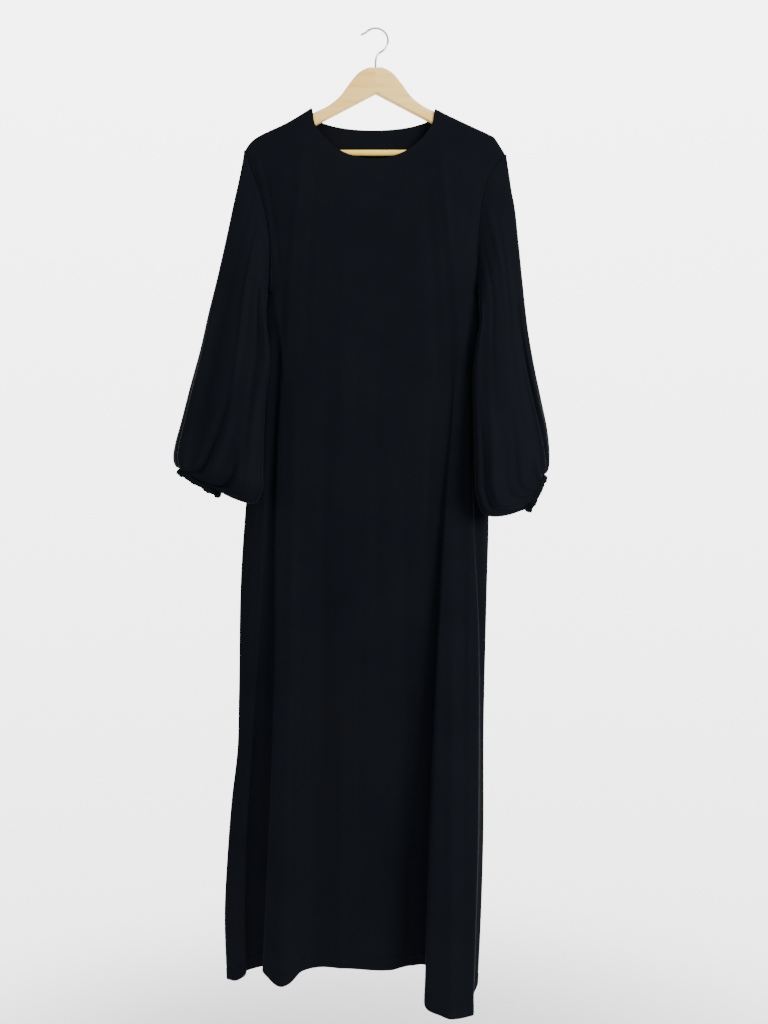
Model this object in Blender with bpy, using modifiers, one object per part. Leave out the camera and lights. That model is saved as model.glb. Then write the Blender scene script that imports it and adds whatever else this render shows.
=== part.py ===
"""A plain black abaya cloak hanging on a wooden coat hanger.

Metres, +Z up, seen by a viewer who looks along +Y. The origin is the point inside the hook that bears on
whatever it hangs from. "down" is the distance below that point, and "left" is the viewer's left.

The cloth is a set of walls of one thickness. The front and back panels are grids that run from the shoulder
seams and the neck edge to the hem. The sleeves are rings that run from the armhole to the gathered end.
"""

import bmesh
import bpy
import numpy as np
from math import pi
from mathutils import Matrix

# Cloth
CLOTH = 0.0016  # thickness of the wall
SEAM_GAP = 0.0003  # between two pieces that are sewn together
ARMHOLE_GAP = 0.0003  # between a panel's curved edge and the sleeve's first ring
SEAM_STRIP = 0.002  # flat strip beside the shoulder seam
ARM_ROUND = 0.0065  # radius in which the cloth turns down over the hanger's arm

# Neck
NECK_LEFT = -0.112
NECK_RIGHT = 0.105
NECK_PEAK_DOWN = 0.1385
FRONT_NECK_DEPTH = 0.088
FRONT_NECK_POWER = 0.58
BACK_NECK_DEPTH = 0.0335
BACK_NECK_POWER = 0.45

# Beside each peak the neck edge turns down over the arm: how far in from the peak, and how far round the turn.
NECK_TURN_IN = (0.0010, 0.0022, 0.0036)
NECK_TURN_ALONG = (0.0035, 0.0070, 0.0105)
NECK_CURVE_IN = 0.0065  # where the neck's own curve takes over

# Body
UNDERARM_DOWN = 0.455
CLOSING_START = 0.433  # where the armhole's edges start to turn in round the underarm
SIDE_ROUND = 0.022  # width over which a panel rounds into the side seam
SIDE_STRIP = 0.0025  # depth of the flat strip beside the side seam
UNDERARM_EASE = 0.0009  # extra opening between the panels where the seam starts, under the arm
EASE_HEIGHT = 0.012  # height over which that opening closes
SPREAD_HEIGHT = 0.34  # height over which the grid's columns move from the neck to the folds
BULGE_WIDTH = 0.09  # from the panel's edge to where it has its full depth

# Hanger
ARM_THICKNESS = 0.012
ARM_CORNER = 0.004
WIRE_RADIUS = 0.0018
HOOK_RADIUS = 0.0215
SHANK_END_DOWN = 0.090
SHANK_BORE_RADIUS = 0.0021
ROD_RADIUS = 0.005
ROD_DOWN = 0.2136
ROD_SHOULDER = 0.1715
TENON_RADIUS = 0.003
TENON_END = 0.192
TENON_CLEARANCE = 0.0003

# Sleeves
GATHERS = 9
EVEN_RING = 6  # the ring from which a sleeve's points stand at equal angles
CUFF_WIDTH = 0.009
ARMHOLE_STRIP = 0.0015  # flat strip of the sleeve beside the armhole
MOUTH_STRIP = 0.003  # flat strip of the sleeve beside the cuff


def table(names, *rows):
    """Rows of numbers as named columns."""
    return dict(zip(names.split(), np.array(rows, dtype=float).T))


# The shoulder seams as they lie over the arms, and the line that joins them above the neck.
OVER_ARMS = table(
    "x down",
    (-0.2244, 0.2089),
    (-0.2195, 0.2015),
    (-0.2135, 0.1946),
    (-0.2060, 0.1887),
    (-0.1950, 0.1823),
    (-0.1819, 0.1761),
    (-0.1577, 0.1650),
    (-0.1335, 0.1513),
    (-0.1120, 0.1378),
    (-0.0035, 0.0830),
    (0.1050, 0.1392),
    (0.1216, 0.1479),
    (0.1400, 0.1566),
    (0.1577, 0.1650),
    (0.1819, 0.1761),
    (0.1950, 0.1823),
    (0.2060, 0.1890),
    (0.2130, 0.1996),
    (0.2236, 0.2162),
)

# The left and right edges of both panels: the armhole down to the underarm, then the side seam.
LEFT_EDGE = table(
    "down x",
    (0.2089, -0.2244),
    (0.2400, -0.2150),
    (0.2718, -0.2030),
    (0.3100, -0.1920),
    (0.3600, -0.1835),
    (0.4100, -0.1825),
    (0.4550, -0.1850),
    (0.4780, -0.1915),
    (0.5050, -0.1960),
    (0.5500, -0.2000),
    (0.7000, -0.2110),
    (0.8202, -0.2237),
    (0.9342, -0.2317),
    (1.1519, -0.2360),
    (1.2452, -0.2385),
    (1.3281, -0.2480),
    (1.4300, -0.2560),
    (1.5268, -0.2605),
    (1.6391, -0.2569),
)
RIGHT_EDGE = table(
    "down x",
    (0.2162, 0.2236),
    (0.2488, 0.1985),
    (0.2760, 0.1885),
    (0.3297, 0.1800),
    (0.3700, 0.1762),
    (0.4100, 0.1755),
    (0.4550, 0.1765),
    (0.4780, 0.1825),
    (0.5050, 0.1865),
    (0.5500, 0.1890),
    (0.7000, 0.1920),
    (0.8444, 0.1955),
    (0.9653, 0.1925),
    (1.2141, 0.1870),
    (1.3938, 0.1865),
    (1.5268, 0.1826),
    (1.6480, 0.1768),
)

# The hem of each panel. The front's falls at the fold on the left and again at the flap on the right.
FRONT_HEM = table(
    "x down",
    (-0.2569, 1.6391),
    (-0.2377, 1.6374),
    (-0.2224, 1.6244),
    (-0.2060, 1.6110),
    (-0.1930, 1.6030),
    (-0.1800, 1.6110),
    (-0.1694, 1.6250),
    (-0.1584, 1.6302),
    (-0.1441, 1.6272),
    (-0.1252, 1.6130),
    (-0.1027, 1.6081),
    (-0.0449, 1.6070),
    (0.0271, 1.6105),
    (0.0598, 1.6050),
    (0.0780, 1.6060),
    (0.0960, 1.6480),
    (0.1100, 1.6600),
    (0.1314, 1.6665),
    (0.1550, 1.6660),
    (0.1680, 1.6620),
    (0.1768, 1.6480),
)
BACK_HEM = table(
    "x down",
    (-0.2569, 1.6391),
    (-0.1900, 1.6300),
    (-0.0900, 1.6210),
    (0.0300, 1.6190),
    (0.1200, 1.6330),
    (0.1768, 1.6480),
)

# How far the middle of each panel stands out beyond the cloth that lies on the arm.
BULGE = table(
    "down front back",
    (0.20, 0.000, 0.000),
    (0.32, 0.003, 0.003),
    (0.60, 0.007, 0.008),
    (0.85, 0.010, 0.012),
    (1.25, 0.016, 0.015),
    (1.64, 0.020, 0.017),
)

# Each fold is a line down the panel. Crossing it from left to right the cloth steps towards the viewer by
# "rise", over "width" on each side, and laps back under itself where "lap" is more than the width.
FRONT_FOLDS = {
    "left_strip": table(
        "down x width rise lap",
        (0.25, -0.1900, 0.007, 0.0000, 0.000),
        (0.36, -0.1680, 0.007, 0.0000, 0.000),
        (0.46, -0.1690, 0.007, 0.0000, 0.000),
        (0.57, -0.1770, 0.007, -0.0015, 0.000),
        (0.87, -0.1900, 0.007, -0.0050, 0.003),
        (1.06, -0.1990, 0.008, -0.0080, 0.006),
        (1.28, -0.2130, 0.008, -0.0100, 0.007),
        (1.40, -0.2205, 0.008, -0.0110, 0.007),
        (1.64, -0.2215, 0.009, -0.0120, 0.008),
    ),
    "left_fold": table(
        "down x width rise lap",
        (0.25, -0.1650, 0.009, 0.0000, 0.000),
        (0.36, -0.1500, 0.009, 0.0000, 0.000),
        (0.46, -0.1520, 0.009, 0.0010, 0.000),
        (0.57, -0.1620, 0.009, 0.0030, 0.003),
        (0.73, -0.1694, 0.008, 0.0060, 0.008),
        (0.87, -0.1710, 0.008, 0.0090, 0.011),
        (1.06, -0.1705, 0.009, 0.0120, 0.013),
        (1.25, -0.1740, 0.010, 0.0150, 0.015),
        (1.45, -0.1820, 0.011, 0.0180, 0.017),
        (1.64, -0.1905, 0.011, 0.0200, 0.018),
    ),
    "right_fold": table(
        "down x width rise lap",
        (0.25, 0.1300, 0.014, 0.0000, 0.000),
        (0.45, 0.1340, 0.013, 0.0030, 0.000),
        (0.60, 0.1335, 0.012, 0.0060, 0.006),
        (0.84, 0.1175, 0.011, 0.0120, 0.014),
        (1.07, 0.1080, 0.011, 0.0240, 0.023),
        (1.35, 0.0965, 0.012, 0.0420, 0.029),
        (1.64, 0.0870, 0.012, 0.0600, 0.031),
    ),
    "right_strip": table(
        "down x width rise lap",
        (0.25, 0.1700, 0.009, 0.0000, 0.000),
        (0.36, 0.1570, 0.009, 0.0000, 0.000),
        (0.46, 0.1580, 0.009, 0.0000, 0.000),
        (0.60, 0.1640, 0.009, -0.0050, 0.000),
        (0.84, 0.1680, 0.009, -0.0100, 0.006),
        (1.00, 0.1740, 0.007, -0.0200, 0.010),
        (1.35, 0.1740, 0.007, -0.0360, 0.011),
        (1.50, 0.1690, 0.007, -0.0500, 0.011),
        (1.64, 0.1640, 0.007, -0.0600, 0.011),
    ),
}
BACK_FOLDS = {
    "back_left": table(
        "down x width rise lap",
        (0.30, -0.1350, 0.016, 0.0000, 0.000),
        (0.70, -0.1300, 0.015, 0.0030, 0.004),
        (1.10, -0.1330, 0.013, 0.0070, 0.014),
        (1.64, -0.1400, 0.013, 0.0110, 0.022),
    ),
    "back_right": table(
        "down x width rise lap",
        (0.30, 0.0950, 0.016, 0.0000, 0.000),
        (0.80, 0.0960, 0.015, -0.0030, 0.003),
        (1.20, 0.0900, 0.013, -0.0070, 0.014),
        (1.64, 0.0820, 0.013, -0.0100, 0.020),
    ),
}

# Soft rises and hollows with no lap: at the line x the cloth stands out by "out" at the hem, from "start" down.
FRONT_WAVES = table(
    "x_top x_hem width start out",
    (-0.150, -0.160, 0.030, 0.60, 0.020),
    (-0.100, -0.103, 0.028, 0.70, -0.005),
    (-0.030, -0.030, 0.040, 0.50, 0.003),
    (0.050, 0.060, 0.030, 0.60, -0.005),
    (0.140, 0.125, 0.030, 0.95, 0.004),
)
BACK_WAVES = table(
    "x_top x_hem width start out",
    (-0.185, -0.200, 0.030, 0.80, 0.006),
    (-0.060, -0.065, 0.035, 0.70, 0.007),
    (0.030, 0.020, 0.032, 0.60, -0.006),
    (0.140, 0.140, 0.030, 0.90, 0.007),
)

# Rings of the sleeves below the armhole. Each is a flattened loop from an outer edge point to an inner edge
# point, half_depth thick on each side, and it keeps front_shape and back_shape of the armhole's curve.
SLEEVE_COLUMNS = (
    "out_x out_down out_y in_x in_down in_y half_depth front_shape back_shape gather"
)
LEFT_SLEEVE = table(
    SLEEVE_COLUMNS,
    (-0.2272, 0.2155, 0.000, -0.1925, 0.4590, -0.002, 0.0090, 0.85, 0.85, 0.0),
    (-0.2302, 0.2338, 0.000, -0.1950, 0.4665, -0.008, 0.0100, 0.65, 0.50, 0.0),
    (-0.2371, 0.2683, -0.001, -0.1955, 0.4775, -0.015, 0.0110, 0.45, 0.20, 0.0),
    (-0.2441, 0.3004, -0.002, -0.1935, 0.4940, -0.021, 0.0120, 0.32, 0.05, 0.0),
    (-0.2558, 0.3564, -0.004, -0.1890, 0.5150, -0.026, 0.0125, 0.14, 0.00, 0.0),
    (-0.2720, 0.4300, -0.007, -0.1810, 0.5420, -0.030, 0.0130, 0.04, 0.00, 0.0),
    (-0.2870, 0.4929, -0.010, -0.1785, 0.5820, -0.033, 0.0140, 0.00, 0.00, 0.0),
    (-0.3007, 0.5561, -0.013, -0.1845, 0.6360, -0.038, 0.0165, 0.00, 0.00, 0.0),
    (-0.3174, 0.6216, -0.017, -0.1868, 0.6800, -0.043, 0.0200, 0.00, 0.00, 0.2),
    (-0.3312, 0.6813, -0.021, -0.1876, 0.7250, -0.048, 0.0245, 0.00, 0.00, 0.5),
    (-0.3400, 0.7200, -0.025, -0.1880, 0.7680, -0.052, 0.0280, 0.00, 0.00, 0.9),
    (-0.3417, 0.7400, -0.029, -0.1895, 0.8000, -0.054, 0.0295, 0.00, 0.00, 1.0),
    (-0.3392, 0.7500, -0.034, -0.2030, 0.8200, -0.052, 0.0265, 0.00, 0.00, 1.0),
    (-0.3355, 0.7560, -0.037, -0.2310, 0.8130, -0.050, 0.0225, 0.00, 0.00, 0.8),
    (-0.3300, 0.7580, -0.041, -0.2580, 0.8005, -0.047, 0.0175, 0.00, 0.00, 0.6),
)
RIGHT_SLEEVE = table(
    SLEEVE_COLUMNS,
    (0.2266, 0.2230, 0.000, 0.1840, 0.4590, -0.002, 0.0090, 0.85, 0.85, 0.0),
    (0.2300, 0.2450, 0.000, 0.1865, 0.4665, -0.008, 0.0100, 0.65, 0.50, 0.0),
    (0.2350, 0.2800, -0.001, 0.1870, 0.4775, -0.015, 0.0110, 0.45, 0.20, 0.0),
    (0.2399, 0.3067, -0.002, 0.1850, 0.4940, -0.021, 0.0120, 0.32, 0.05, 0.0),
    (0.2468, 0.3711, -0.004, 0.1805, 0.5150, -0.026, 0.0125, 0.14, 0.00, 0.0),
    (0.2535, 0.4400, -0.007, 0.1725, 0.5420, -0.030, 0.0130, 0.04, 0.00, 0.0),
    (0.2612, 0.5135, -0.010, 0.1665, 0.5820, -0.033, 0.0140, 0.00, 0.00, 0.0),
    (0.2721, 0.5824, -0.014, 0.1648, 0.6340, -0.038, 0.0165, 0.00, 0.00, 0.0),
    (0.2833, 0.6408, -0.018, 0.1652, 0.6760, -0.044, 0.0200, 0.00, 0.00, 0.2),
    (0.2925, 0.6923, -0.022, 0.1658, 0.7220, -0.049, 0.0245, 0.00, 0.00, 0.5),
    (0.2945, 0.7230, -0.026, 0.1664, 0.7680, -0.053, 0.0280, 0.00, 0.00, 0.9),
    (0.2940, 0.7430, -0.030, 0.1690, 0.8080, -0.055, 0.0295, 0.00, 0.00, 1.0),
    (0.2920, 0.7570, -0.034, 0.1850, 0.8400, -0.053, 0.0280, 0.00, 0.00, 1.0),
    (0.2880, 0.7660, -0.038, 0.2190, 0.8400, -0.050, 0.0245, 0.00, 0.00, 0.8),
    (0.2800, 0.7690, -0.041, 0.2500, 0.8300, -0.048, 0.0205, 0.00, 0.00, 0.6),
)
GATHER_HEIGHT = 0.0022

# Soft creases of the sleeves. "turn" is the place round the ring in degrees: 0 the outer edge, 90 the middle
# of the front, 180 the inner edge. "out" is how far the cloth stands out there, between two rings.
SLEEVE_CREASES = {
    "left": table(
        "turn width first last out",
        (78.0, 20.0, 3.0, 12.0, 0.0050),
        (55.0, 16.0, 6.0, 15.0, -0.0060),
        (128.0, 22.0, 5.0, 12.0, -0.0030),
        (262.0, 24.0, 4.0, 13.0, 0.0050),
        (300.0, 20.0, 6.0, 14.0, -0.0050),
    ),
    "right": table(
        "turn width first last out",
        (40.0, 18.0, 6.0, 14.0, -0.0045),
        (92.0, 30.0, 5.0, 13.0, 0.0045),
        (140.0, 20.0, 4.0, 12.0, -0.0025),
        (255.0, 24.0, 5.0, 13.0, -0.0050),
        (290.0, 20.0, 4.0, 13.0, 0.0040),
    ),
}

# Grid of the front panel. Its columns stand at these shares of the way between neighbouring folds and edges.
FRONT_SHARES = (
    (0.0, 0.001, 0.30, 0.60, 0.85),
    (0.0, 0.20, 0.50, 0.80),
    (0.0, 0.018, 0.036, 0.070, 0.110, 0.155, 0.20, 0.25, 0.305, 0.365, 0.43, 0.495, 0.56, 0.62)
    + (0.68, 0.735, 0.785, 0.835, 0.885, 0.935, 0.968, 0.986),
    (0.0, 0.06, 0.13, 0.30, 0.65, 0.87),
    (0.0, 0.20, 0.50, 0.999, 1.0),
)
FRONT_NECK_COLUMNS = (13, 27)  # the columns that end at the neck's two peaks
BACK_SHARES = (
    (0.0, 0.001, 0.30, 0.70, 0.90),
    (0.0, 0.05, 0.12, 0.18, 0.24, 0.30, 0.36, 0.43, 0.50, 0.57, 0.64, 0.70, 0.76, 0.82, 0.88, 0.95),
    (0.0, 0.10, 0.40, 0.999, 1.0),
)
BACK_NECK_COLUMNS = (7, 18)
EDGE_COLUMN = 0.004  # width of the first column beside an armhole
SHOULDER_CROWDING = 1.5  # over 1, the columns crowd towards the shoulder points
NEAR_ROWS = (0.0, 0.002, 0.0054, 0.0088, 0.0123)  # rows that turn over the arm
ARMHOLE_ROWS = 14  # rows from there down to the underarm, closer together at both ends
ARMHOLE_START = 26.0  # degrees round the armhole at which they start
FRONT_LOWER_SHARES = (0.05, 0.13, 0.22, 0.32, 0.42, 0.53, 0.64, 0.76, 0.88, 1.0)  # underarm to hem
BACK_LOWER_SHARES = (0.08, 0.24, 0.42, 0.61, 0.81, 1.0)
AROUND = 2 * (len(NEAR_ROWS) - 1 + ARMHOLE_ROWS)  # points in a sleeve's ring: one for each row, front and back

# Profile of a hanger arm, from the centre seam to the end.
ARM = table(
    "x top_down under_down",
    (0.00015, 0.0670, 0.1124),
    (0.0110, 0.0670, 0.1180),
    (0.0160, 0.0685, 0.1206),
    (0.0300, 0.0770, 0.1280),
    (0.0460, 0.0960, 0.1363),
    (0.0605, 0.1157, 0.1440),
    (0.0770, 0.1300, 0.1525),
    (0.1070, 0.1455, 0.1681),
    (0.1350, 0.1588, 0.1827),
    (0.1577, 0.1693, 0.1945),
    (0.1740, 0.1768, 0.2050),
    (0.1800, 0.1796, 0.2175),
    (0.1900, 0.1842, 0.2215),
    (0.1960, 0.1880, 0.2210),
    (0.2000, 0.1930, 0.2160),
    (0.2020, 0.1990, 0.2095),
)


def eased(t):
    """Runs from 0 to 1 as t does, level at both ends."""
    t = np.clip(t, 0.0, 1.0)
    return t * t * (3.0 - 2.0 * t)


def quarter_round(t):
    """Height of a quarter circle of radius 1 at the distance t from its foot."""
    t = np.clip(t, 0.0, 1.0)
    return np.sqrt(1.0 - (1.0 - t) ** 2)


def read_curve(at, x, y):
    """Reads a smooth curve through the points (x, y): on each stretch a cubic that meets its neighbours' slopes."""
    at = np.asarray(at, dtype=float)
    slope = np.gradient(y, x)
    i = np.clip(np.searchsorted(x, at, side="right") - 1, 0, len(x) - 2)
    step = x[i + 1] - x[i]
    t = np.clip((at - x[i]) / step, 0.0, 1.0)
    start = (1.0 + 2.0 * t) * (1.0 - t) ** 2 * y[i] + t * (1.0 - t) ** 2 * step * slope[i]
    end = t * t * (3.0 - 2.0 * t) * y[i + 1] + t * t * (t - 1.0) * step * slope[i + 1]
    return start + end


def read_table(rows, name, at, key="down"):
    return read_curve(at, rows[key], rows[name])


def over_arm(s):
    """Depth and drop of the cloth at the distance s from the shoulder seam: level, a quarter turn, straight down."""
    angle = np.clip((s - SEAM_STRIP) / ARM_ROUND, 0.0, pi / 2)
    beyond = np.maximum(s - SEAM_STRIP - ARM_ROUND * pi / 2, 0.0)
    depth = SEAM_GAP / 2 + np.clip(s, 0.0, SEAM_STRIP) + ARM_ROUND * np.sin(angle)
    drop = ARM_ROUND * (1.0 - np.cos(angle)) + beyond
    return depth, drop


def along_for_drop(drop):
    """The distance from the shoulder seam at which the cloth has dropped this far."""
    angle = np.arccos(np.clip(1.0 - drop / ARM_ROUND, 0.0, 1.0))
    straight = np.maximum(drop - ARM_ROUND, 0.0)
    return np.where(drop > 0.0, SEAM_STRIP + ARM_ROUND * angle + straight, 0.0)


def closing(down):
    """0 along the open armhole, then round the underarm to 1, where the panels meet at the side seam."""
    t = np.clip((down - CLOSING_START) / (UNDERARM_DOWN - CLOSING_START), 0.0, 1.0)
    return 1.0 - np.sqrt(1.0 - t * t)


def armhole_shares():
    """Rows between the turn over the arm (0) and the underarm (1), at equal angles round half a ring."""
    start = np.radians(ARMHOLE_START)
    turn = np.linspace(start, pi, ARMHOLE_ROWS + 1)[1:]
    return (np.cos(start) - np.cos(turn)) / (np.cos(start) + 1.0)


def row_distances(s_start, s_underarm, s_end, lower_shares):
    """Distances from the shoulder seam of every row: the turn over the arm, the armhole's rows, the lower rows."""
    near = s_start + np.array(NEAR_ROWS)[:, None]
    upper = near[-1] + (s_underarm - near[-1]) * armhole_shares()[:, None]
    lower = s_underarm + (s_end - s_underarm) * np.array(lower_shares)[:, None]
    return np.concatenate([near, upper, lower])


def top_columns(count, neck_columns):
    """Where the columns start along the top edge: crowding towards the shoulder points, and at equal angles round
    the neck."""
    first, last = neck_columns
    left_end = OVER_ARMS["x"][0]
    right_end = OVER_ARMS["x"][-1]
    left_share = np.linspace(0.0, 1.0, first) ** SHOULDER_CROWDING
    left = left_end + EDGE_COLUMN + (NECK_LEFT - left_end - EDGE_COLUMN) * left_share
    centre = (NECK_LEFT + NECK_RIGHT) / 2
    half = (NECK_RIGHT - NECK_LEFT) / 2
    turn = np.array(NECK_TURN_IN)
    start = np.arccos(1.0 - NECK_CURVE_IN / half)
    curve = np.linspace(pi - start, start, last - first - 1 - 2 * len(turn))
    neck = centre + half * np.cos(curve)
    right_share = 1.0 - (1.0 - np.linspace(0.0, 1.0, count - 1 - last)) ** SHOULDER_CROWDING
    right = NECK_RIGHT + (right_end - EDGE_COLUMN - NECK_RIGHT) * right_share
    return np.concatenate(
        [[left_end], left, NECK_LEFT + turn, neck, NECK_RIGHT - turn[::-1], right, [right_end]]
    )


def neck_down(x, depth, power):
    """The neck edge's height: a flattened ellipse hung between the two peaks."""
    centre = (NECK_LEFT + NECK_RIGHT) / 2
    half = (NECK_RIGHT - NECK_LEFT) / 2
    across = np.clip(np.abs(x - centre) / half, 0.0, 1.0)
    return NECK_PEAK_DOWN + depth * (1.0 - across**2) ** power


def fold_columns(down, shares, folds):
    """For each row, the place of every column between the left edge (0) and the right edge (1)."""
    left = read_table(LEFT_EDGE, "x", down)
    right = read_table(RIGHT_EDGE, "x", down)
    lines = [left] + [read_table(fold, "x", down) for fold in folds.values()] + [right]
    places = []
    for start, end, part in zip(lines[:-1], lines[1:], shares):
        places += [start + share * (end - start) for share in part]
    return (np.stack(places, axis=-1) - left[..., None]) / (right - left)[..., None]


def panel_points(face, shares, neck_columns, lower_shares, neck, hem, folds, waves, bulge):
    """The grid of a panel's outer surface. face is -1 for the front and +1 for the back."""
    count = sum(len(part) for part in shares)
    x_top = top_columns(count, neck_columns)
    top = read_table(OVER_ARMS, "down", x_top, "x")
    inside = (x_top > NECK_LEFT + 1e-6) & (x_top < NECK_RIGHT - 1e-6)
    edge = np.where(inside, neck_down(x_top, *neck), top)
    s_start = along_for_drop(np.maximum(edge - top, 0.0))
    for peak, inward in ((neck_columns[0], 1), (neck_columns[1], -1)):
        for step, along in enumerate(NECK_TURN_ALONG, start=1):
            s_start[peak + inward * step] = along

    # The row spacing depends on the hem's height, which depends on where each column ends up.
    hem_place = fold_columns(np.full(1, 1.62), shares, folds)[0]
    x_hem = LEFT_EDGE["x"][-1] + hem_place * (RIGHT_EDGE["x"][-1] - LEFT_EDGE["x"][-1])
    s_end = along_for_drop(read_table(hem, "down", x_hem, "x") - top)
    s = row_distances(s_start, along_for_drop(UNDERARM_DOWN - top), s_end, lower_shares)
    depth, drop = over_arm(s)
    down = top + drop

    # Across: a column starts straight down, or along the armhole beside it, and moves over to its place
    # between the folds.
    left_own = read_table(LEFT_EDGE, "x", down)
    right_own = read_table(RIGHT_EDGE, "x", down)
    by_left = np.clip((NECK_LEFT - x_top) / (NECK_LEFT - x_top[0]), 0.0, 1.0)
    by_right = np.clip((x_top - NECK_RIGHT) / (x_top[-1] - NECK_RIGHT), 0.0, 1.0)
    x_high = x_top + by_left * (left_own[:, :1] - x_top[0]) + by_right * (right_own[:, -1:] - x_top[-1])
    place_low = np.empty_like(down)
    for column in range(count):
        place_low[:, column] = fold_columns(down[:, column], shares, folds)[:, column]
    x_low = left_own + place_low * (right_own - left_own)
    mix = eased((down - edge) / SPREAD_HEIGHT)
    x = x_high * (1.0 - mix) + x_low * mix
    left = left_own[:, :1] * (1.0 - mix) + left_own * mix
    right = right_own[:, -1:] * (1.0 - mix) + right_own * mix
    from_edge = np.minimum(x - left, right - x)

    # Depth: the bulge, then the folds and waves, all fading out at the panel's edges.
    bulge_depth = read_table(BULGE, bulge, down) * eased(from_edge / BULGE_WIDTH + 0.15)
    inward = eased(from_edge / SIDE_ROUND)
    shift = np.zeros_like(x)
    for fold in folds.values():
        width = read_table(fold, "width", down)
        t = (x - read_table(fold, "x", down)) / width
        bulge_depth += read_table(fold, "rise", down) * eased((t + 1.0) / 2.0)
        shift -= read_table(fold, "lap", down) * t * np.exp(-t * t) * inward
    for i in range(len(waves["out"])):
        line = waves["x_top"][i] + (waves["x_hem"][i] - waves["x_top"][i]) * (down - 0.2) / 1.42
        reach = eased((down - waves["start"][i]) / (1.6 - waves["start"][i]))
        bulge_depth += waves["out"][i] * reach * np.exp(-(((x - line) / waves["width"][i]) ** 2))
    depth = depth + bulge_depth * eased(from_edge / 0.012)

    # Below the armhole the edge turns in to the side seam, with a flat strip beside the seam.
    close = closing(down)
    rounded = SIDE_STRIP + (depth - SIDE_STRIP) * quarter_round(from_edge / SIDE_ROUND)
    y = depth * (1.0 - close) + rounded * close
    for edge_column, next_column, sign in ((0, 1, 1.0), (-1, -2, -1.0)):
        line = (left if sign > 0 else right)[:, edge_column]
        x[:, next_column] = line + sign * EDGE_COLUMN * (1.0 - close[:, next_column])
        flat = depth[:, edge_column]
        y[:, next_column] = flat * (1.0 - close[:, next_column]) + SIDE_STRIP * close[:, next_column]
        seam = SEAM_GAP / 2 + UNDERARM_EASE * np.exp((UNDERARM_DOWN - down[:, edge_column]) / EASE_HEIGHT)
        y[:, edge_column] = flat * (1.0 - close[:, edge_column]) + seam * close[:, edge_column]
        shift[:, [edge_column, next_column]] = 0.0
    return np.stack([x + shift, face * y, -down], axis=-1)


def armhole_half(side, face, s):
    """The armhole edge, s from the shoulder point, over the front (face -1) or the back (face +1)."""
    edge = LEFT_EDGE if side == "left" else RIGHT_EDGE
    outward = -1.0 if side == "left" else 1.0
    depth, drop = over_arm(s)
    down = edge["down"][0] + drop
    close = closing(down)
    y = depth * (1.0 - close)
    x = read_table(edge, "x", down) + outward * ARMHOLE_GAP
    return np.stack([x, face * y, -down], axis=-1)


def armhole_ring(side):
    """The armhole as a ring: the shoulder point first, down the front, up the back, a point for each row."""
    edge = LEFT_EDGE if side == "left" else RIGHT_EDGE
    length = along_for_drop(UNDERARM_DOWN - edge["down"][0])
    s = row_distances(0.0, length, length, ())[:, 0]
    front = armhole_half(side, -1.0, s)
    back = armhole_half(side, 1.0, s[1:-1][::-1])
    half_turn = np.arccos(1.0 - 2.0 * s / length)
    turn = np.concatenate([half_turn, 2.0 * pi - half_turn[1:-1][::-1]])
    return np.concatenate([front, back]), turn


def flat_ring(outer, inner, half_depth, turn):
    """A flattened loop between two edge points: round at both edges, half_depth thick on each side."""
    turn = turn[:, None]
    middle = (outer + inner) / 2.0
    half = (outer - inner) / 2.0
    from_edge = np.linalg.norm(half) * (1.0 - np.abs(np.cos(turn)))
    depth = half_depth * np.sign(np.sin(turn)) * quarter_round(from_edge / half_depth)
    return middle + half * np.cos(turn) + np.array([[0.0, -1.0, 0.0]]) * depth


def ring_outward(ring):
    """Unit directions out of a ring, in its own plane, from its centre line."""
    along = np.roll(ring, -1, axis=0) - np.roll(ring, 1, axis=0)
    axis = np.cross(ring[0] - ring.mean(axis=0), ring[len(ring) // 4] - ring.mean(axis=0))
    out = np.cross(along, axis)
    return out / np.linalg.norm(out, axis=1, keepdims=True)


def gather_wave(turn):
    """The wave of the gathers round a ring, uneven in height."""
    return np.cos(GATHERS * turn) * (0.75 + 0.25 * np.sin(3.0 * turn + 1.0))


def sleeve_points(side, rows):
    """The rings of a sleeve's outer surface, from the armhole to the gathered end."""
    armhole, armhole_turn = armhole_ring(side)
    shape = armhole - flat_ring(armhole[0], armhole[AROUND // 2], over_arm(1.0)[0], armhole_turn)
    even_turn = np.arange(AROUND) * 2.0 * pi / AROUND
    front = (np.arange(AROUND) <= AROUND // 2)[:, None]
    creases = SLEEVE_CREASES[side]
    outward = -1.0 if side == "left" else 1.0
    rings = [armhole, armhole + (outward * ARMHOLE_STRIP, 0.0, 0.0)]
    for i in range(len(rows["out_x"])):
        row = {name: values[i] for name, values in rows.items()}
        outer = np.array([row["out_x"], row["out_y"], -row["out_down"]])
        inner = np.array([row["in_x"], row["in_y"], -row["in_down"]])
        even = eased(i / EVEN_RING)
        turn = armhole_turn * (1.0 - even) + even_turn * even
        ring = flat_ring(outer, inner, row["half_depth"], turn)
        ring += shape * np.where(front, row["front_shape"], row["back_shape"])
        rise = row["gather"] * GATHER_HEIGHT * gather_wave(turn)
        for c in range(len(creases["turn"])):
            span = (i + 1 - creases["first"][c]) / (creases["last"][c] - creases["first"][c])
            reach = np.sin(pi * np.clip(span, 0.0, 1.0))
            gap = (np.degrees(turn) - creases["turn"][c] + 180.0) % 360.0 - 180.0
            rise = rise + creases["out"][c] * reach * np.exp(-((gap / creases["width"][c]) ** 2))
        rings.append(ring + ring_outward(ring) * rise[:, None])
    rings.append(rings[-1] + mouth_direction(side, rings[-1]) * MOUTH_STRIP)
    return np.array(rings)


def mouth_direction(side, ring):
    """The way out of the sleeve's mouth: square to its ring, downwards."""
    direction = np.cross([0.0, 1.0, 0.0], ring[0] - ring[AROUND // 2])
    direction *= -np.sign(direction[2]) / np.linalg.norm(direction)
    return direction


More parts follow.
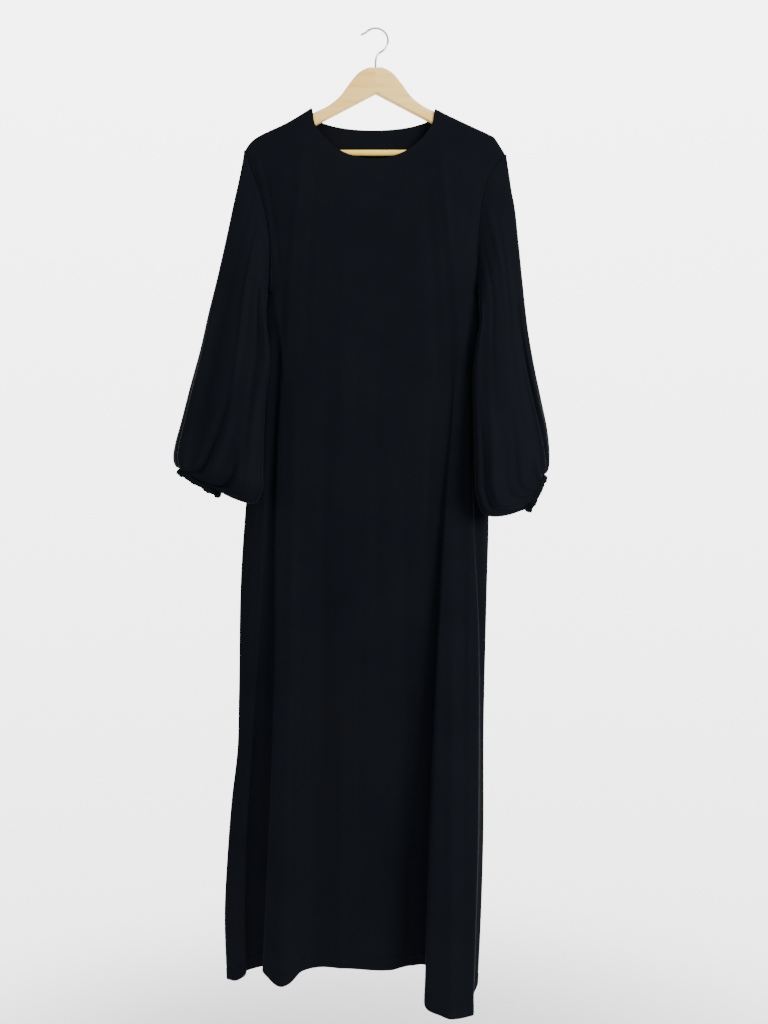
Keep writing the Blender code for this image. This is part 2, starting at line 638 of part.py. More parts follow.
def cuff_points(side, end_ring):
    """The casing beyond the sleeve's end: a short band that goes on from it, out of the sleeve's mouth."""
    direction = mouth_direction(side, end_ring)
    travels = (SEAM_GAP, SEAM_GAP + CUFF_WIDTH / 2, SEAM_GAP + CUFF_WIDTH)
    return np.array([end_ring + direction * travel for travel in travels])


def clear_scene():
    for obj in list(bpy.data.objects):
        bpy.data.objects.remove(obj, do_unlink=True)


def new_collection(name):
    collection = bpy.data.collections.new(name)
    bpy.context.scene.collection.children.link(collection)
    return collection


def new_material(name, colour, roughness, metallic=0.0):
    material = bpy.data.materials.new(name)
    material.use_nodes = True
    shader = material.node_tree.nodes["Principled BSDF"]
    shader.inputs["Base Color"].default_value = (*colour, 1.0)
    shader.inputs["Roughness"].default_value = roughness
    shader.inputs["Metallic"].default_value = metallic
    return material


def grid_faces(rows, columns, ring, flip):
    """The faces of a grid of points, row by row. A ring's last column joins its first."""
    index = np.arange(rows * columns).reshape(rows, columns)
    if ring:
        index = np.concatenate([index, index[:, :1]], axis=1)
    a = index[:-1, :-1]
    b = index[1:, :-1]
    c = index[1:, 1:]
    d = index[:-1, 1:]
    order = (a, d, c, b) if flip else (a, b, c, d)
    return np.stack(order, axis=-1).reshape(-1, 4).tolist()


def add_object(name, mesh, collection, material):
    obj = bpy.data.objects.new(name, mesh)
    collection.objects.link(obj)
    mesh.materials.append(material)
    return obj


def cloth_object(name, points, collection, material, ring=False, flip=False):
    """A wall of cloth on a grid of outer points: an open surface with its thickness inwards."""
    rows, columns = points.shape[:2]
    mesh = bpy.data.meshes.new(name)
    mesh.from_pydata(points.reshape(-1, 3).tolist(), [], grid_faces(rows, columns, ring, flip))
    mesh.shade_smooth()
    obj = add_object(name, mesh, collection, material)
    wall = obj.modifiers.new("wall", "SOLIDIFY")
    wall.thickness = CLOTH
    wall.offset = -1.0
    return obj


def rounded_section(x, top, under):
    """One section of a hanger arm: a rectangle with four rounded corners."""
    corner = min(ARM_CORNER, (top - under) * 0.45)
    half_y = ARM_THICKNESS / 2 - corner
    angles = np.radians([0.0, 45.0, 90.0])
    points = []
    for quarter, (sign_y, z) in enumerate(
        ((1, top - corner), (-1, top - corner), (-1, under + corner), (1, under + corner))
    ):
        turn = angles + quarter * pi / 2
        y = sign_y * half_y + corner * np.cos(turn)
        points += [(x, y_k, z_k) for y_k, z_k in zip(y, z + corner * np.sin(turn))]
    return points


def hanger_half(name, side, collection, material):
    """One arm of the hanger, lofted from the centre seam to the rounded end."""
    rows = zip(ARM["x"], ARM["top_down"], ARM["under_down"])
    sections = np.array([rounded_section(side * x, -top, -under) for x, top, under in rows])
    count, around = sections.shape[:2]
    faces = grid_faces(count, around, True, side < 0)
    start = list(range(around))
    end = list(range((count - 1) * around, count * around))
    faces += [start[::-1], end] if side < 0 else [start, end[::-1]]
    mesh = bpy.data.meshes.new(name)
    mesh.from_pydata(sections.reshape(-1, 3).tolist(), [], faces)
    mesh.shade_smooth()
    mesh.set_sharp_from_angle(angle=pi / 4)
    return add_object(name, mesh, collection, material)


def bore(name, radius, start, end, collection):
    """A round cutter between two points."""
    start = np.array(start)
    end = np.array(end)
    mesh = bpy.data.meshes.new(name)
    shape = bmesh.new()
    length = float(np.linalg.norm(end - start))
    bmesh.ops.create_cone(
        shape, cap_ends=True, segments=16, radius1=radius, radius2=radius, depth=length
    )
    if abs(end[0] - start[0]) > abs(end[2] - start[2]):
        bmesh.ops.rotate(shape, matrix=Matrix.Rotation(pi / 2, 3, "Y"), verts=shape.verts)
    bmesh.ops.translate(shape, vec=(start + end) / 2, verts=shape.verts)
    shape.to_mesh(mesh)
    shape.free()
    cutter = bpy.data.objects.new(name, mesh)
    collection.objects.link(cutter)
    cutter.hide_render = True
    cutter.display_type = "WIRE"
    return cutter


def cut(obj, cutter):
    boolean = obj.modifiers.new(cutter.name, "BOOLEAN")
    boolean.operation = "DIFFERENCE"
    boolean.object = cutter


def hanger_rod(collection, material):
    """The rod, turned with a tenon at each end: half its profile on a Screw, laid along X."""
    profile = (
        (0.0, TENON_END),
        (TENON_RADIUS, TENON_END),
        (TENON_RADIUS, ROD_SHOULDER + 0.0005),
        (ROD_RADIUS - 0.001, ROD_SHOULDER),
        (ROD_RADIUS, ROD_SHOULDER - 0.001),
    )
    upper = [(r, 0.0, along) for r, along in profile]
    lower = [(r, 0.0, -along) for r, along in reversed(profile)]
    points = upper + lower
    mesh = bpy.data.meshes.new("hanger_rod")
    mesh.from_pydata(points, [(i, i + 1) for i in range(len(points) - 1)], [])
    rod = add_object("hanger_rod", mesh, collection, material)
    screw = rod.modifiers.new("turned", "SCREW")
    screw.steps = screw.render_steps = 16
    screw.use_merge_vertices = True
    screw.merge_threshold = 0.0001
    screw.use_smooth_shade = True
    rod.rotation_euler = (0.0, pi / 2, 0.0)
    rod.location = (0.0, 0.0, -ROD_DOWN)
    return rod


def bezier(p0, p1, p2, p3, count):
    t = np.linspace(0.0, 1.0, count)[:, None]
    points = [np.array([p]) for p in (p0, p1, p2, p3)]
    weights = ((1 - t) ** 3, 3 * t * (1 - t) ** 2, 3 * t * t * (1 - t), t**3)
    return sum(w * p for w, p in zip(weights, points))


def hook_path():
    """The wire's centre line in x and z: flared tip, round crook, then an easy bend into a straight shank."""
    centre = np.array([0.0, WIRE_RADIUS - HOOK_RADIUS])
    angle = np.radians(np.linspace(135.0, -60.0, 19))
    crook = centre + HOOK_RADIUS * np.stack([np.cos(angle), np.sin(angle)], axis=-1)
    tip = np.array([-0.0250, -0.0098])
    flare = bezier(tip, tip + (0.004, 0.0022), crook[0] - (0.0022, 0.0022), crook[0], 5)
    along = np.array([np.sin(angle[-1]), -np.cos(angle[-1])])
    bend = bezier(crook[-1], crook[-1] + along * 0.010, (0.0, -0.050), (0.0, -0.062), 8)
    shank = np.array([[0.0, -SHANK_END_DOWN]])
    return np.concatenate([flare[:-1], crook, bend[1:], shank])


def hanger_hook(collection, material):
    """The hook: one steel wire that ends in the bore between the two arms."""
    path = hook_path()
    curve = bpy.data.curves.new("hanger_hook", "CURVE")
    curve.dimensions = "3D"
    curve.bevel_depth = WIRE_RADIUS
    curve.bevel_resolution = 2
    curve.use_fill_caps = True
    spline = curve.splines.new("POLY")
    spline.points.add(len(path) - 1)
    for point, (x, z) in zip(spline.points, path):
        point.co = (x, 0.0, z, 1.0)
    spline.use_smooth = True
    return add_object("hanger_hook", curve, collection, material)


def build_body(collection, material):
    front = panel_points(
        -1.0,
        FRONT_SHARES,
        FRONT_NECK_COLUMNS,
        FRONT_LOWER_SHARES,
        (FRONT_NECK_DEPTH, FRONT_NECK_POWER),
        FRONT_HEM,
        FRONT_FOLDS,
        FRONT_WAVES,
        "front",
    )
    back = panel_points(
        1.0,
        BACK_SHARES,
        BACK_NECK_COLUMNS,
        BACK_LOWER_SHARES,
        (BACK_NECK_DEPTH, BACK_NECK_POWER),
        BACK_HEM,
        BACK_FOLDS,
        BACK_WAVES,
        "back",
    )
    cloth_object("front_panel", front, collection, material)
    cloth_object("back_panel", back, collection, material, flip=True)


def build_sleeves(collection, material):
    for side, rows in (("left", LEFT_SLEEVE), ("right", RIGHT_SLEEVE)):
        flip = side == "right"
        rings = sleeve_points(side, rows)
        cloth_object(f"sleeve_{side}", rings, collection, material, ring=True, flip=flip)
        casing = cuff_points(side, rings[-1])
        cloth_object(f"cuff_{side}", casing, collection, material, ring=True, flip=flip)


def build_hanger(collection, cutters, wood, rod_wood, steel):
    shank_bore = bore(
        "shank_bore", SHANK_BORE_RADIUS, (0, 0, -0.060), (0, 0, -SHANK_END_DOWN - 0.0006), cutters
    )
    for name, side in (("left", -1.0), ("right", 1.0)):
        half = hanger_half(f"hanger_half_{name}", side, collection, wood)
        socket = bore(
            f"socket_{name}",
            TENON_RADIUS + TENON_CLEARANCE,
            (side * (ROD_SHOULDER - 0.008), 0, -ROD_DOWN),
            (side * (TENON_END + TENON_CLEARANCE), 0, -ROD_DOWN),
            cutters,
        )
        cut(half, shank_bore)
        cut(half, socket)
    hanger_rod(collection, rod_wood)
    hanger_hook(collection, steel)


def main():
    clear_scene()
    part = new_collection("abaya_on_hanger")
    cutters = new_collection("cutters")
    cloth = new_material("black_crepe", (0.006, 0.008, 0.011), 0.85)
    maple = new_material("maple", (0.80, 0.62, 0.38), 0.45)
    rod_wood = new_material("rod_wood", (0.82, 0.60, 0.27), 0.45)
    steel = new_material("bright_steel", (0.75, 0.75, 0.74), 0.25, 1.0)
    build_body(part, cloth)
    build_sleeves(part, cloth)
    build_hanger(part, cutters, maple, rod_wood, steel)


main()
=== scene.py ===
# %% [markdown]
# # A black abaya on a wooden coat hanger
#
# The real garment is a full-length cloak of matte black crepe: a front and a back panel, two long balloon
# sleeves that are gathered at the wrist, and no buttons or zip. It hangs from a plain wooden hanger by its
# shoulders, so nearly every fold in it runs straight down.
#
# The imported model is the frame that everything is fitted to. This first cell loads it and keeps its meshes,
# in world coordinates, by their node names.

# %% Load the frame
from math import pi

import bpy
import numpy as np
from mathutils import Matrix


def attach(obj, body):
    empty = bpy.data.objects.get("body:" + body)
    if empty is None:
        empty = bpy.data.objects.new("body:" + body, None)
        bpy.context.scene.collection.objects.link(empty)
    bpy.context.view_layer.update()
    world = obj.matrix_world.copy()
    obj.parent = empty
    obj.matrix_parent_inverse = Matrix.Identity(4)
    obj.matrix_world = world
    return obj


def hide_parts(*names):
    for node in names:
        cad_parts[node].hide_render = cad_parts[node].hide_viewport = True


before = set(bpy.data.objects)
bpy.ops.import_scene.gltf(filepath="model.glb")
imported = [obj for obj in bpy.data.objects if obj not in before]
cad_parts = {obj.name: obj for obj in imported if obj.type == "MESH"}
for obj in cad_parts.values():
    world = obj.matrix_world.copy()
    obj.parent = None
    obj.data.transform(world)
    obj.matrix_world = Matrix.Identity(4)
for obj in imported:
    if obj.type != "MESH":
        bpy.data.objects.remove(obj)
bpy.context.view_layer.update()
print("nodes:", ", ".join(sorted(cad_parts)))

# %% [markdown]
# ## The camera
#
# The picture was taken level, from 1.9 m in front of the hanger and at half the garment's height. A pixel at
# the middle of the picture is 1/1098 of the distance wide, which gives the lens for a 36 mm sensor along the
# long side.

# %% Place the camera
CAMERA_PLACE = (0.0147, -1.897, -0.834)
FOCAL_PIXELS = 1098.0
PICTURE_HEIGHT = 1024.0


def add_object(name, data):
    """A new object in the scene's own collection."""
    piece = bpy.data.objects.new(name, data)
    bpy.context.scene.collection.objects.link(piece)
    return piece


def add_camera(place, focal_pixels):
    """A level camera that looks along +Y, with a lens of focal_pixels / picture height x sensor."""
    data = bpy.data.cameras.new("camera")
    data.sensor_width = 36.0
    data.lens = focal_pixels / PICTURE_HEIGHT * data.sensor_width
    camera = add_object("camera", data)
    camera.location = place
    camera.rotation_euler = (pi / 2, 0.0, 0.0)
    bpy.context.scene.camera = camera
    return camera


camera = add_camera(CAMERA_PLACE, FOCAL_PIXELS)
print(f"camera lens: {camera.data.lens:.1f} mm")

# %% [markdown]
# ## Putting a grid into a mesh
#
# Every new piece here is a surface of two parameters. Its points are worked out as one array of rows and
# columns, and this cell turns such an array into a mesh. The last column of a ring joins its first. The two
# coordinates of the UV map are real distances in metres, so that a print laid on it would keep its size.

# %% Grids, meshes and pieces
def table(names, *rows):
    """Rows of numbers as named columns."""
    return dict(zip(names.split(), np.array(rows, dtype=float).T))


def grid_faces(rows, columns, ring, flip):
    """The four corners of every cell of a grid: (a, b, c, d) goes down, across, up. flip turns them round."""
    index = np.arange(rows * columns).reshape(rows, columns)
    if ring:
        index = np.concatenate([index, index[:, :1]], axis=1)
    corners = [index[:-1, :-1], index[1:, :-1], index[1:, 1:], index[:-1, 1:]]
    if flip:
        corners = corners[::-1]
    return np.stack(corners, axis=-1).reshape(-1, 4)


def arc_lengths(points, axis):
    """Distance travelled along one axis of a grid, starting from 0."""
    steps = np.linalg.norm(np.diff(points, axis=axis), axis=-1)
    start = np.zeros_like(np.take(steps, [0], axis=axis))
    return np.cumsum(np.concatenate([start, steps], axis=axis), axis=axis)


def grid_uv(points, faces, ring):
    """UV in metres for each face corner: across at the middle row, and along the grid's columns."""
    rows, columns = points.shape[:2]
    along = arc_lengths(points, 0)
    middle = points[rows // 2][None]
    if ring:
        middle = np.concatenate([middle, middle[:, :1]], axis=1)
    across = arc_lengths(middle, 1)[0]
    u = np.broadcast_to(across[:columns], (rows, columns)).reshape(-1)[faces]
    if ring:
        wraps = (faces % columns).max(axis=1, keepdims=True) - faces % columns > columns // 2
        u = np.where(wraps, across[columns], u)
    v = along.reshape(-1)[faces]
    return np.stack([u, v], axis=-1).reshape(-1)


def new_mesh(name, points, faces):
    """A mesh of points in any number of rows, and faces as lists of their numbers."""
    mesh = bpy.data.meshes.new(name)
    mesh.from_pydata(points.reshape(-1, 3).tolist(), [], faces)
    return mesh


def grid_mesh(name, points, ring=False, flip=False):
    """A smooth mesh of a grid, with its UV map in metres."""
    faces = grid_faces(*points.shape[:2], ring, flip)
    mesh = new_mesh(name, points, faces.tolist())
    mesh.shade_smooth()
    mesh.uv_layers.new(name="cloth_metres").data.foreach_set("uv", grid_uv(points, faces, ring))
    return mesh


def add_piece(name, mesh, material, node):
    """A new object with one material, which rides on the part's one body and stands for a CAD node."""
    piece = add_object(name, mesh)
    mesh.materials.append(material)
    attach(piece, "root")
    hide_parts(node)
    return piece


def eased(t):
    """Runs from 0 to 1 as t does, level at both ends: 3t^2 - 2t^3."""
    t = np.clip(t, 0.0, 1.0)
    return t * t * (3.0 - 2.0 * t)


def quarter_round(t):
    """Height of a quarter circle of radius 1 at the distance t from its foot."""
    t = np.clip(t, 0.0, 1.0)
    return np.sqrt(1.0 - (1.0 - t) ** 2)


def read_curve(at, x, y):
    """A smooth curve through the points (x, y): on each stretch a cubic that meets its neighbours' slopes.

    At the share t of a stretch it is (1 + 2t)(1 - t)^2 of the start and t^2 (3 - 2t) of the end. The slopes
    add t (1 - t)^2 and t^2 (t - 1) of their rise. y may also be rows of many values, one row for each x.
    """
    at = np.asarray(at, dtype=float)
    slope = np.gradient(y, x, axis=0)
    i = np.clip(np.searchsorted(x, at, side="right") - 1, 0, len(x) - 2)
    every_value = (...,) + (None,) * (y.ndim - 1)
    step = (x[i + 1] - x[i])[every_value]
    t = np.clip((at - x[i])[every_value] / step, 0.0, 1.0)
    start = (1.0 + 2.0 * t) * (1.0 - t) ** 2 * y[i] + t * (1.0 - t) ** 2 * step * slope[i]
    end = t * t * (3.0 - 2.0 * t) * y[i + 1] + t * t * (t - 1.0) * step * slope[i + 1]
    return start + end


def read_table(rows, name, at, key="down"):
    """One column of a table, read smoothly at places given in its key column."""
    return read_curve(at, rows[key], rows[name])


print("helpers are ready")

# %% [markdown]
# ## The cut of the body
#
# The front and the back panel are sewn together at the shoulders and at the sides, and each armhole between
# them takes a sleeve. These sizes are the CAD model's: the shoulder seams as they lie over the hanger, the
# curved edges from the armhole to the hem, and the hem itself, which is lowest where a fold hangs forward.

# %% Sizes of the panels
SLEEVE_TUCK = 0.0005  # how far a sleeve's edge reaches in under the panels' at the armhole
SEAM_STRIP = 0.002  # flat strip beside the shoulder seam
ARM_ROUND = 0.0065  # radius in which the cloth turns down over the hanger's arm
NECK_LEFT = -0.112
NECK_RIGHT = 0.105
NECK_PEAK_DOWN = 0.1385
FRONT_NECK = (0.088, 0.58)  # depth below the peaks, and power of the curve
BACK_NECK = (0.0335, 0.45)
NECK_TURN_IN = (0.0, 0.0010, 0.0022, 0.0036)  # inwards from a peak, where the edge turns over the arm
NECK_TURN_ALONG = (0.0, 0.0035, 0.0070, 0.0105)  # and how far it has come down the cloth by then
NECK_CURVE_IN = 0.0065  # where the neck's own curve takes over
ON_SEAM = 1e-6  # columns less than this inside a peak start on the shoulder seam
UNDERARM_DOWN = 0.455
CLOSING_START = 0.433  # where the armhole's edges start to turn in round the underarm
SIDE_ROUND = 0.022  # width over which a panel rounds into the side seam
SIDE_STRIP = 0.0025  # depth of the flat strip beside the side seam
UNDERARM_EASE = 0.0009  # extra opening between the panels where the seam starts, under the arm
EASE_HEIGHT = 0.012  # height over which that opening closes
SPREAD_HEIGHT = 0.34  # height over which the grid's columns move from the neck to the folds
BULGE_WIDTH = 0.09  # from the panel's edge to where it has its full depth
EDGE_COLUMN = 0.004  # width of the strip beside an armhole
SHOULDER_CROWDING = 1.35  # over 1, the columns crowd towards the shoulder points

# The shoulder seams as they lie over the arms, and the line that joins them above the neck.
OVER_ARMS = table(
    "x down",
    (-0.2244, 0.2089), (-0.2195, 0.2015), (-0.2135, 0.1946), (-0.206, 0.1887), (-0.195, 0.1823),
    (-0.1819, 0.1761), (-0.1577, 0.165), (-0.1335, 0.1513), (-0.112, 0.1378), (-0.0035, 0.083),
    (0.105, 0.1392), (0.1216, 0.1479), (0.14, 0.1566), (0.1577, 0.165), (0.1819, 0.1761),
    (0.195, 0.1823), (0.206, 0.189), (0.213, 0.1996), (0.2236, 0.2162),
)

# The left and right edges of both panels: the armhole down to the underarm, then the side seam.
LEFT_EDGE = table(
    "down x",
    (0.2089, -0.2244), (0.24, -0.215), (0.2718, -0.203), (0.31, -0.192), (0.36, -0.1835),
    (0.41, -0.1825), (0.455, -0.185), (0.478, -0.1915), (0.505, -0.196), (0.55, -0.2),
    (0.7, -0.211), (0.8202, -0.2237), (0.9342, -0.2317), (1.1519, -0.236), (1.2452, -0.2385),
    (1.3281, -0.248), (1.43, -0.256), (1.5268, -0.2605), (1.6391, -0.2569),
)
RIGHT_EDGE = table(
    "down x",
    (0.2162, 0.2236), (0.2488, 0.1985), (0.276, 0.1885), (0.3297, 0.18), (0.37, 0.1762),
    (0.41, 0.1755), (0.455, 0.1765), (0.478, 0.1825), (0.505, 0.1865), (0.55, 0.189),
    (0.7, 0.192), (0.8444, 0.1955), (0.9653, 0.1925), (1.2141, 0.187), (1.3938, 0.1865),
    (1.5268, 0.1826), (1.648, 0.1768),
)

# The hem of each panel. The front's falls at the fold on the left and again at the flap on the right.
FRONT_HEM = table(
    "x down",
    (-0.2569, 1.6391), (-0.2377, 1.6374), (-0.2224, 1.6244), (-0.206, 1.611), (-0.193, 1.603),
    (-0.18, 1.611), (-0.1694, 1.625), (-0.1584, 1.6302), (-0.1441, 1.6272), (-0.1252, 1.613),
    (-0.1027, 1.6081), (-0.0449, 1.607), (0.0271, 1.6105), (0.0598, 1.605), (0.078, 1.606),
    (0.096, 1.648), (0.11, 1.66), (0.1314, 1.6665), (0.155, 1.666), (0.168, 1.662),
    (0.1768, 1.648),
)
BACK_HEM = table(
    "x down",
    (-0.2569, 1.6391), (-0.19, 1.63), (-0.09, 1.621), (0.03, 1.619), (0.12, 1.633),
    (0.1768, 1.648),
)

# How far the middle of each panel stands out beyond the cloth that lies on the arm.
BULGE = table(
    "down front back",
    (0.2, 0.0, 0.0), (0.32, 0.003, 0.003), (0.6, 0.007, 0.008), (0.85, 0.01, 0.012),
    (1.25, 0.016, 0.015), (1.64, 0.02, 0.017),
)
print(f"front hem: {FRONT_HEM['down'].min():.3f} to {FRONT_HEM['down'].max():.3f} m below the hook")

# %% [markdown]
# ## The large folds
#
# A garment on a hanger is held at two slopes only, so the spare width between them falls into long folds. A
# fold could be a row of control points, but it is easier to state as a line down the panel with a step across
# it: the cloth rises by so much, over such a width, and laps back under itself by so much. Each is uneven
# down its length, as in the picture.

# %% Lines of the folds, and the soft rises between them
# Crossing a fold's line from left to right the cloth steps outwards by "rise", over "width" on each side, and
# laps back under itself where "lap" is more than the width.
FOLD_COLUMNS = "down x width rise lap"
FRONT_FOLDS = {
    "left_strip": table(
        FOLD_COLUMNS,
        (0.25, -0.19, 0.007, 0.0, 0.0), (0.36, -0.168, 0.007, 0.0, 0.0),
        (0.46, -0.169, 0.007, 0.0, 0.0), (0.57, -0.177, 0.007, -0.0015, 0.0),
        (0.87, -0.19, 0.007, -0.005, 0.003), (1.06, -0.199, 0.008, -0.008, 0.006),
        (1.28, -0.213, 0.008, -0.01, 0.007), (1.4, -0.2205, 0.008, -0.011, 0.007),
        (1.64, -0.2215, 0.009, -0.012, 0.008),
    ),
    "left_fold": table(
        FOLD_COLUMNS,
        (0.25, -0.165, 0.009, 0.0, 0.0), (0.36, -0.15, 0.009, 0.0, 0.0),
        (0.46, -0.152, 0.009, 0.001, 0.0), (0.57, -0.162, 0.009, 0.003, 0.003),
        (0.73, -0.1694, 0.008, 0.006, 0.008), (0.87, -0.171, 0.008, 0.009, 0.011),
        (1.06, -0.1705, 0.009, 0.012, 0.013), (1.25, -0.174, 0.01, 0.015, 0.015),
        (1.45, -0.182, 0.011, 0.018, 0.017), (1.64, -0.1905, 0.011, 0.02, 0.018),
    ),
    "right_fold": table(
        FOLD_COLUMNS,
        (0.25, 0.13, 0.014, 0.0, 0.0), (0.45, 0.134, 0.013, 0.003, 0.0),
        (0.6, 0.1335, 0.012, 0.006, 0.006), (0.84, 0.1175, 0.011, 0.012, 0.014),
        (1.07, 0.108, 0.011, 0.024, 0.023), (1.35, 0.0965, 0.012, 0.042, 0.029),
        (1.64, 0.087, 0.012, 0.06, 0.031),
    ),
    "right_strip": table(
        FOLD_COLUMNS,
        (0.25, 0.17, 0.009, 0.0, 0.0), (0.36, 0.157, 0.009, 0.0, 0.0),
        (0.46, 0.158, 0.009, 0.0, 0.0), (0.6, 0.164, 0.009, -0.005, 0.0),
        (0.84, 0.168, 0.009, -0.01, 0.006), (1.0, 0.174, 0.007, -0.02, 0.01),
        (1.35, 0.174, 0.007, -0.036, 0.011), (1.5, 0.169, 0.007, -0.05, 0.011),
        (1.64, 0.164, 0.007, -0.06, 0.011),
    ),
}
BACK_FOLDS = {
    "back_left": table(
        FOLD_COLUMNS,
        (0.3, -0.135, 0.016, 0.0, 0.0), (0.7, -0.13, 0.015, 0.003, 0.004),
        (1.1, -0.133, 0.013, 0.007, 0.014), (1.64, -0.14, 0.013, 0.011, 0.022),
    ),
    "back_right": table(
        FOLD_COLUMNS,
        (0.3, 0.095, 0.016, 0.0, 0.0), (0.8, 0.096, 0.015, -0.003, 0.003),
        (1.2, 0.09, 0.013, -0.007, 0.014), (1.64, 0.082, 0.013, -0.01, 0.02),
    ),
}

# Soft rises and hollows with no lap: from "start" down, the cloth stands out more and more along a line from
# x_top to x_hem, by "out" at the hem.
WAVE_COLUMNS = "x_top x_hem width start out"
WAVE_TOP = 0.2  # where the lines of the waves start
WAVE_HEIGHT = 1.42  # height of those lines
WAVE_FULL = 1.6  # where a wave has its full height
FRONT_WAVES = table(
    WAVE_COLUMNS,
    (-0.15, -0.16, 0.03, 0.6, 0.02), (-0.1, -0.103, 0.028, 0.7, -0.005),
    (-0.03, -0.03, 0.04, 0.5, 0.003), (0.05, 0.06, 0.03, 0.6, -0.005),
    (0.14, 0.125, 0.03, 0.95, 0.004),
)
BACK_WAVES = table(
    WAVE_COLUMNS,
    (-0.185, -0.2, 0.03, 0.8, 0.006), (-0.06, -0.065, 0.035, 0.7, 0.007),
    (0.03, 0.02, 0.032, 0.6, -0.006), (0.14, 0.14, 0.03, 0.9, 0.007),
)
print("folds:", ", ".join([*FRONT_FOLDS, *BACK_FOLDS]))

# %% [markdown]
# ## The black crepe
#
# Crepe is woven from tightly twisted yarn, which gives it a dull, pebbled face. Seen from across a room it is
# nearly black, with a soft cold sheen where it turns away. So the base colour is a very dark blue-grey that
# varies a little, the roughness is high, a sheen layer lifts the edges of the folds, and two bumps stand for
# the pebbles of the weave (half a millimetre) and for the faint drag lines of hanging cloth.

# %% Materials: helpers and crepe
def new_material(name, **sockets):
    """A material whose plain values sit on the shader's own sockets."""
    material = bpy.data.materials.new(name)
    material.use_nodes = True
    shader = material.node_tree.nodes["Principled BSDF"]
    for socket, value in sockets.items():
        shader.inputs[socket.replace("_", " ")].default_value = value
    return material


def add_node(owner, kind, values=(), **settings):
    """A node of a material or world, with its settings, and the values of its named or numbered inputs."""
    node = owner.node_tree.nodes.new(kind)
    for name, value in settings.items():
        setattr(node, name, value)
    for socket, value in dict(values).items():
        node.inputs[socket].default_value = value
    return node


def link(owner, source, target):
    """Joins an output of a node to an input of another."""
    owner.node_tree.links.new(source, target)


def map_range(owner, source, values, curve="LINEAR"):
    """Moves a number from the range values[0] to values[1] into the range values[2] to values[3]."""
    node = add_node(owner, "ShaderNodeMapRange", dict(zip(range(1, 5), values)), interpolation_type=curve)
    link(owner, source, node.inputs["Value"])
    return node.outputs["Result"]


def object_pattern(material, scale, place=(0.0, 0.0, 0.0)):
    """Object coordinates times scale, plus place, so that a pattern stays where it is on the part."""
    coordinates = add_node(material, "ShaderNodeTexCoord")
    stretch = add_node(material, "ShaderNodeMapping", {"Location": place, "Scale": scale})
    link(material, coordinates.outputs["Object"], stretch.inputs["Vector"])
    return stretch.outputs["Vector"]


def noise(material, vector, scale, detail=2.0, roughness=0.5):
    """A smooth random number from 0 to 1, with about scale bumps a metre of the vector."""
    values = {"Scale": scale, "Detail": detail, "Roughness": roughness}
    node = add_node(material, "ShaderNodeTexNoise", values)
    link(material, vector, node.inputs["Vector"])
    return node.outputs["Fac"]


def colours(material, factor, *stops):
    """A colour ramp: each stop is a position and a linear colour."""
    ramp = add_node(material, "ShaderNodeValToRGB")
    elements = ramp.color_ramp.elements
    for _ in range(len(stops) - 2):
        elements.new(0.5)
    for element, (position, colour) in zip(elements, stops):
        element.position = position
        element.color = (*colour, 1.0)
    link(material, factor, ramp.inputs["Fac"])
    return ramp.outputs["Color"]


def add_bump(material, height, strength, distance, before=None):
    """A bump from a height pattern, laid over the bump before it."""
    bump = add_node(material, "ShaderNodeBump", {"Strength": strength, "Distance": distance})
    link(material, height, bump.inputs["Height"])
    if before is not None:
        link(material, before, bump.inputs["Normal"])
    return bump.outputs["Normal"]


def shader_input(material, socket, source):
    """Joins an output of a node to a socket of the surface shader."""
    link(material, source, material.node_tree.nodes["Principled BSDF"].inputs[socket])


def crepe():
    """Near-black cloth: a cold and a neutral black in soft patches, pebbles of the weave, and drag lines."""
    material = new_material(
        "black_crepe",
        Roughness=0.80,
        Specular_IOR_Level=0.07,
        Sheen_Weight=0.02,
        Sheen_Roughness=0.40,
        Sheen_Tint=(0.62, 0.72, 0.88, 1.0),
    )
    even = object_pattern(material, (1.0, 1.0, 1.0))
    tall = object_pattern(material, (1.0, 1.0, 0.16))
    patches = noise(material, even, 7.0, 3.0, 0.6)
    shade = colours(
        material,
        patches,
        (0.30, (0.0012, 0.0020, 0.0042)),
        (0.52, (0.0018, 0.0027, 0.0051)),
        (0.75, (0.0024, 0.0031, 0.0048)),
    )
    shader_input(material, "Base Color", shade)
    pebbles = noise(material, even, 1900.0, 2.0, 0.6)
    drag = noise(material, tall, 55.0, 3.0, 0.55)
    normal = add_bump(material, drag, 0.30, 0.0022)
    normal = add_bump(material, pebbles, 0.35, 0.00028, normal)
    shader_input(material, "Normal", normal)
    return material


cloth = crepe()
print("material:", cloth.name)

# %% [markdown]
# ## Wood and steel
#
# The arms are pale maple under a satin lacquer, with a fine grain that runs along them, and the rod is a
# yellower turned dowel. The hook is bright drawn wire. The grain is a noise stretched along X, which is the
# way the arms and the rod run.

# %% Materials of the hanger
def wood(name, pale, middle, dark, roughness, place=(0.0, 0.0, 0.0)):
    """Straight grain: a noise stretched along X, plus a quarter of a finer one for the pores.

    place is where the board was cut from the tree, so two boards have two grains.
    """
    lacquer = {"Specular_IOR_Level": 0.45, "Coat_Weight": 0.12, "Coat_Roughness": 0.25}
    material = new_material(name, Roughness=roughness, **lacquer)
    long = object_pattern(material, (5.0, 60.0, 75.0), place)
    pores = object_pattern(material, (30.0, 700.0, 700.0))
    grain = noise(material, long, 1.6, 4.0, 0.55)
    fine = noise(material, pores, 1.0, 2.0, 0.5)
    both = add_node(material, "ShaderNodeMath", {1: 0.25}, operation="MULTIPLY_ADD")
    link(material, fine, both.inputs[0])
    link(material, grain, both.inputs[2])
    shade = colours(material, both.outputs[0], (0.42, dark), (0.60, middle), (0.78, pale))
    shader_input(material, "Base Color", shade)
    shader_input(material, "Normal", add_bump(material, fine, 0.12, 0.0002))
    return material


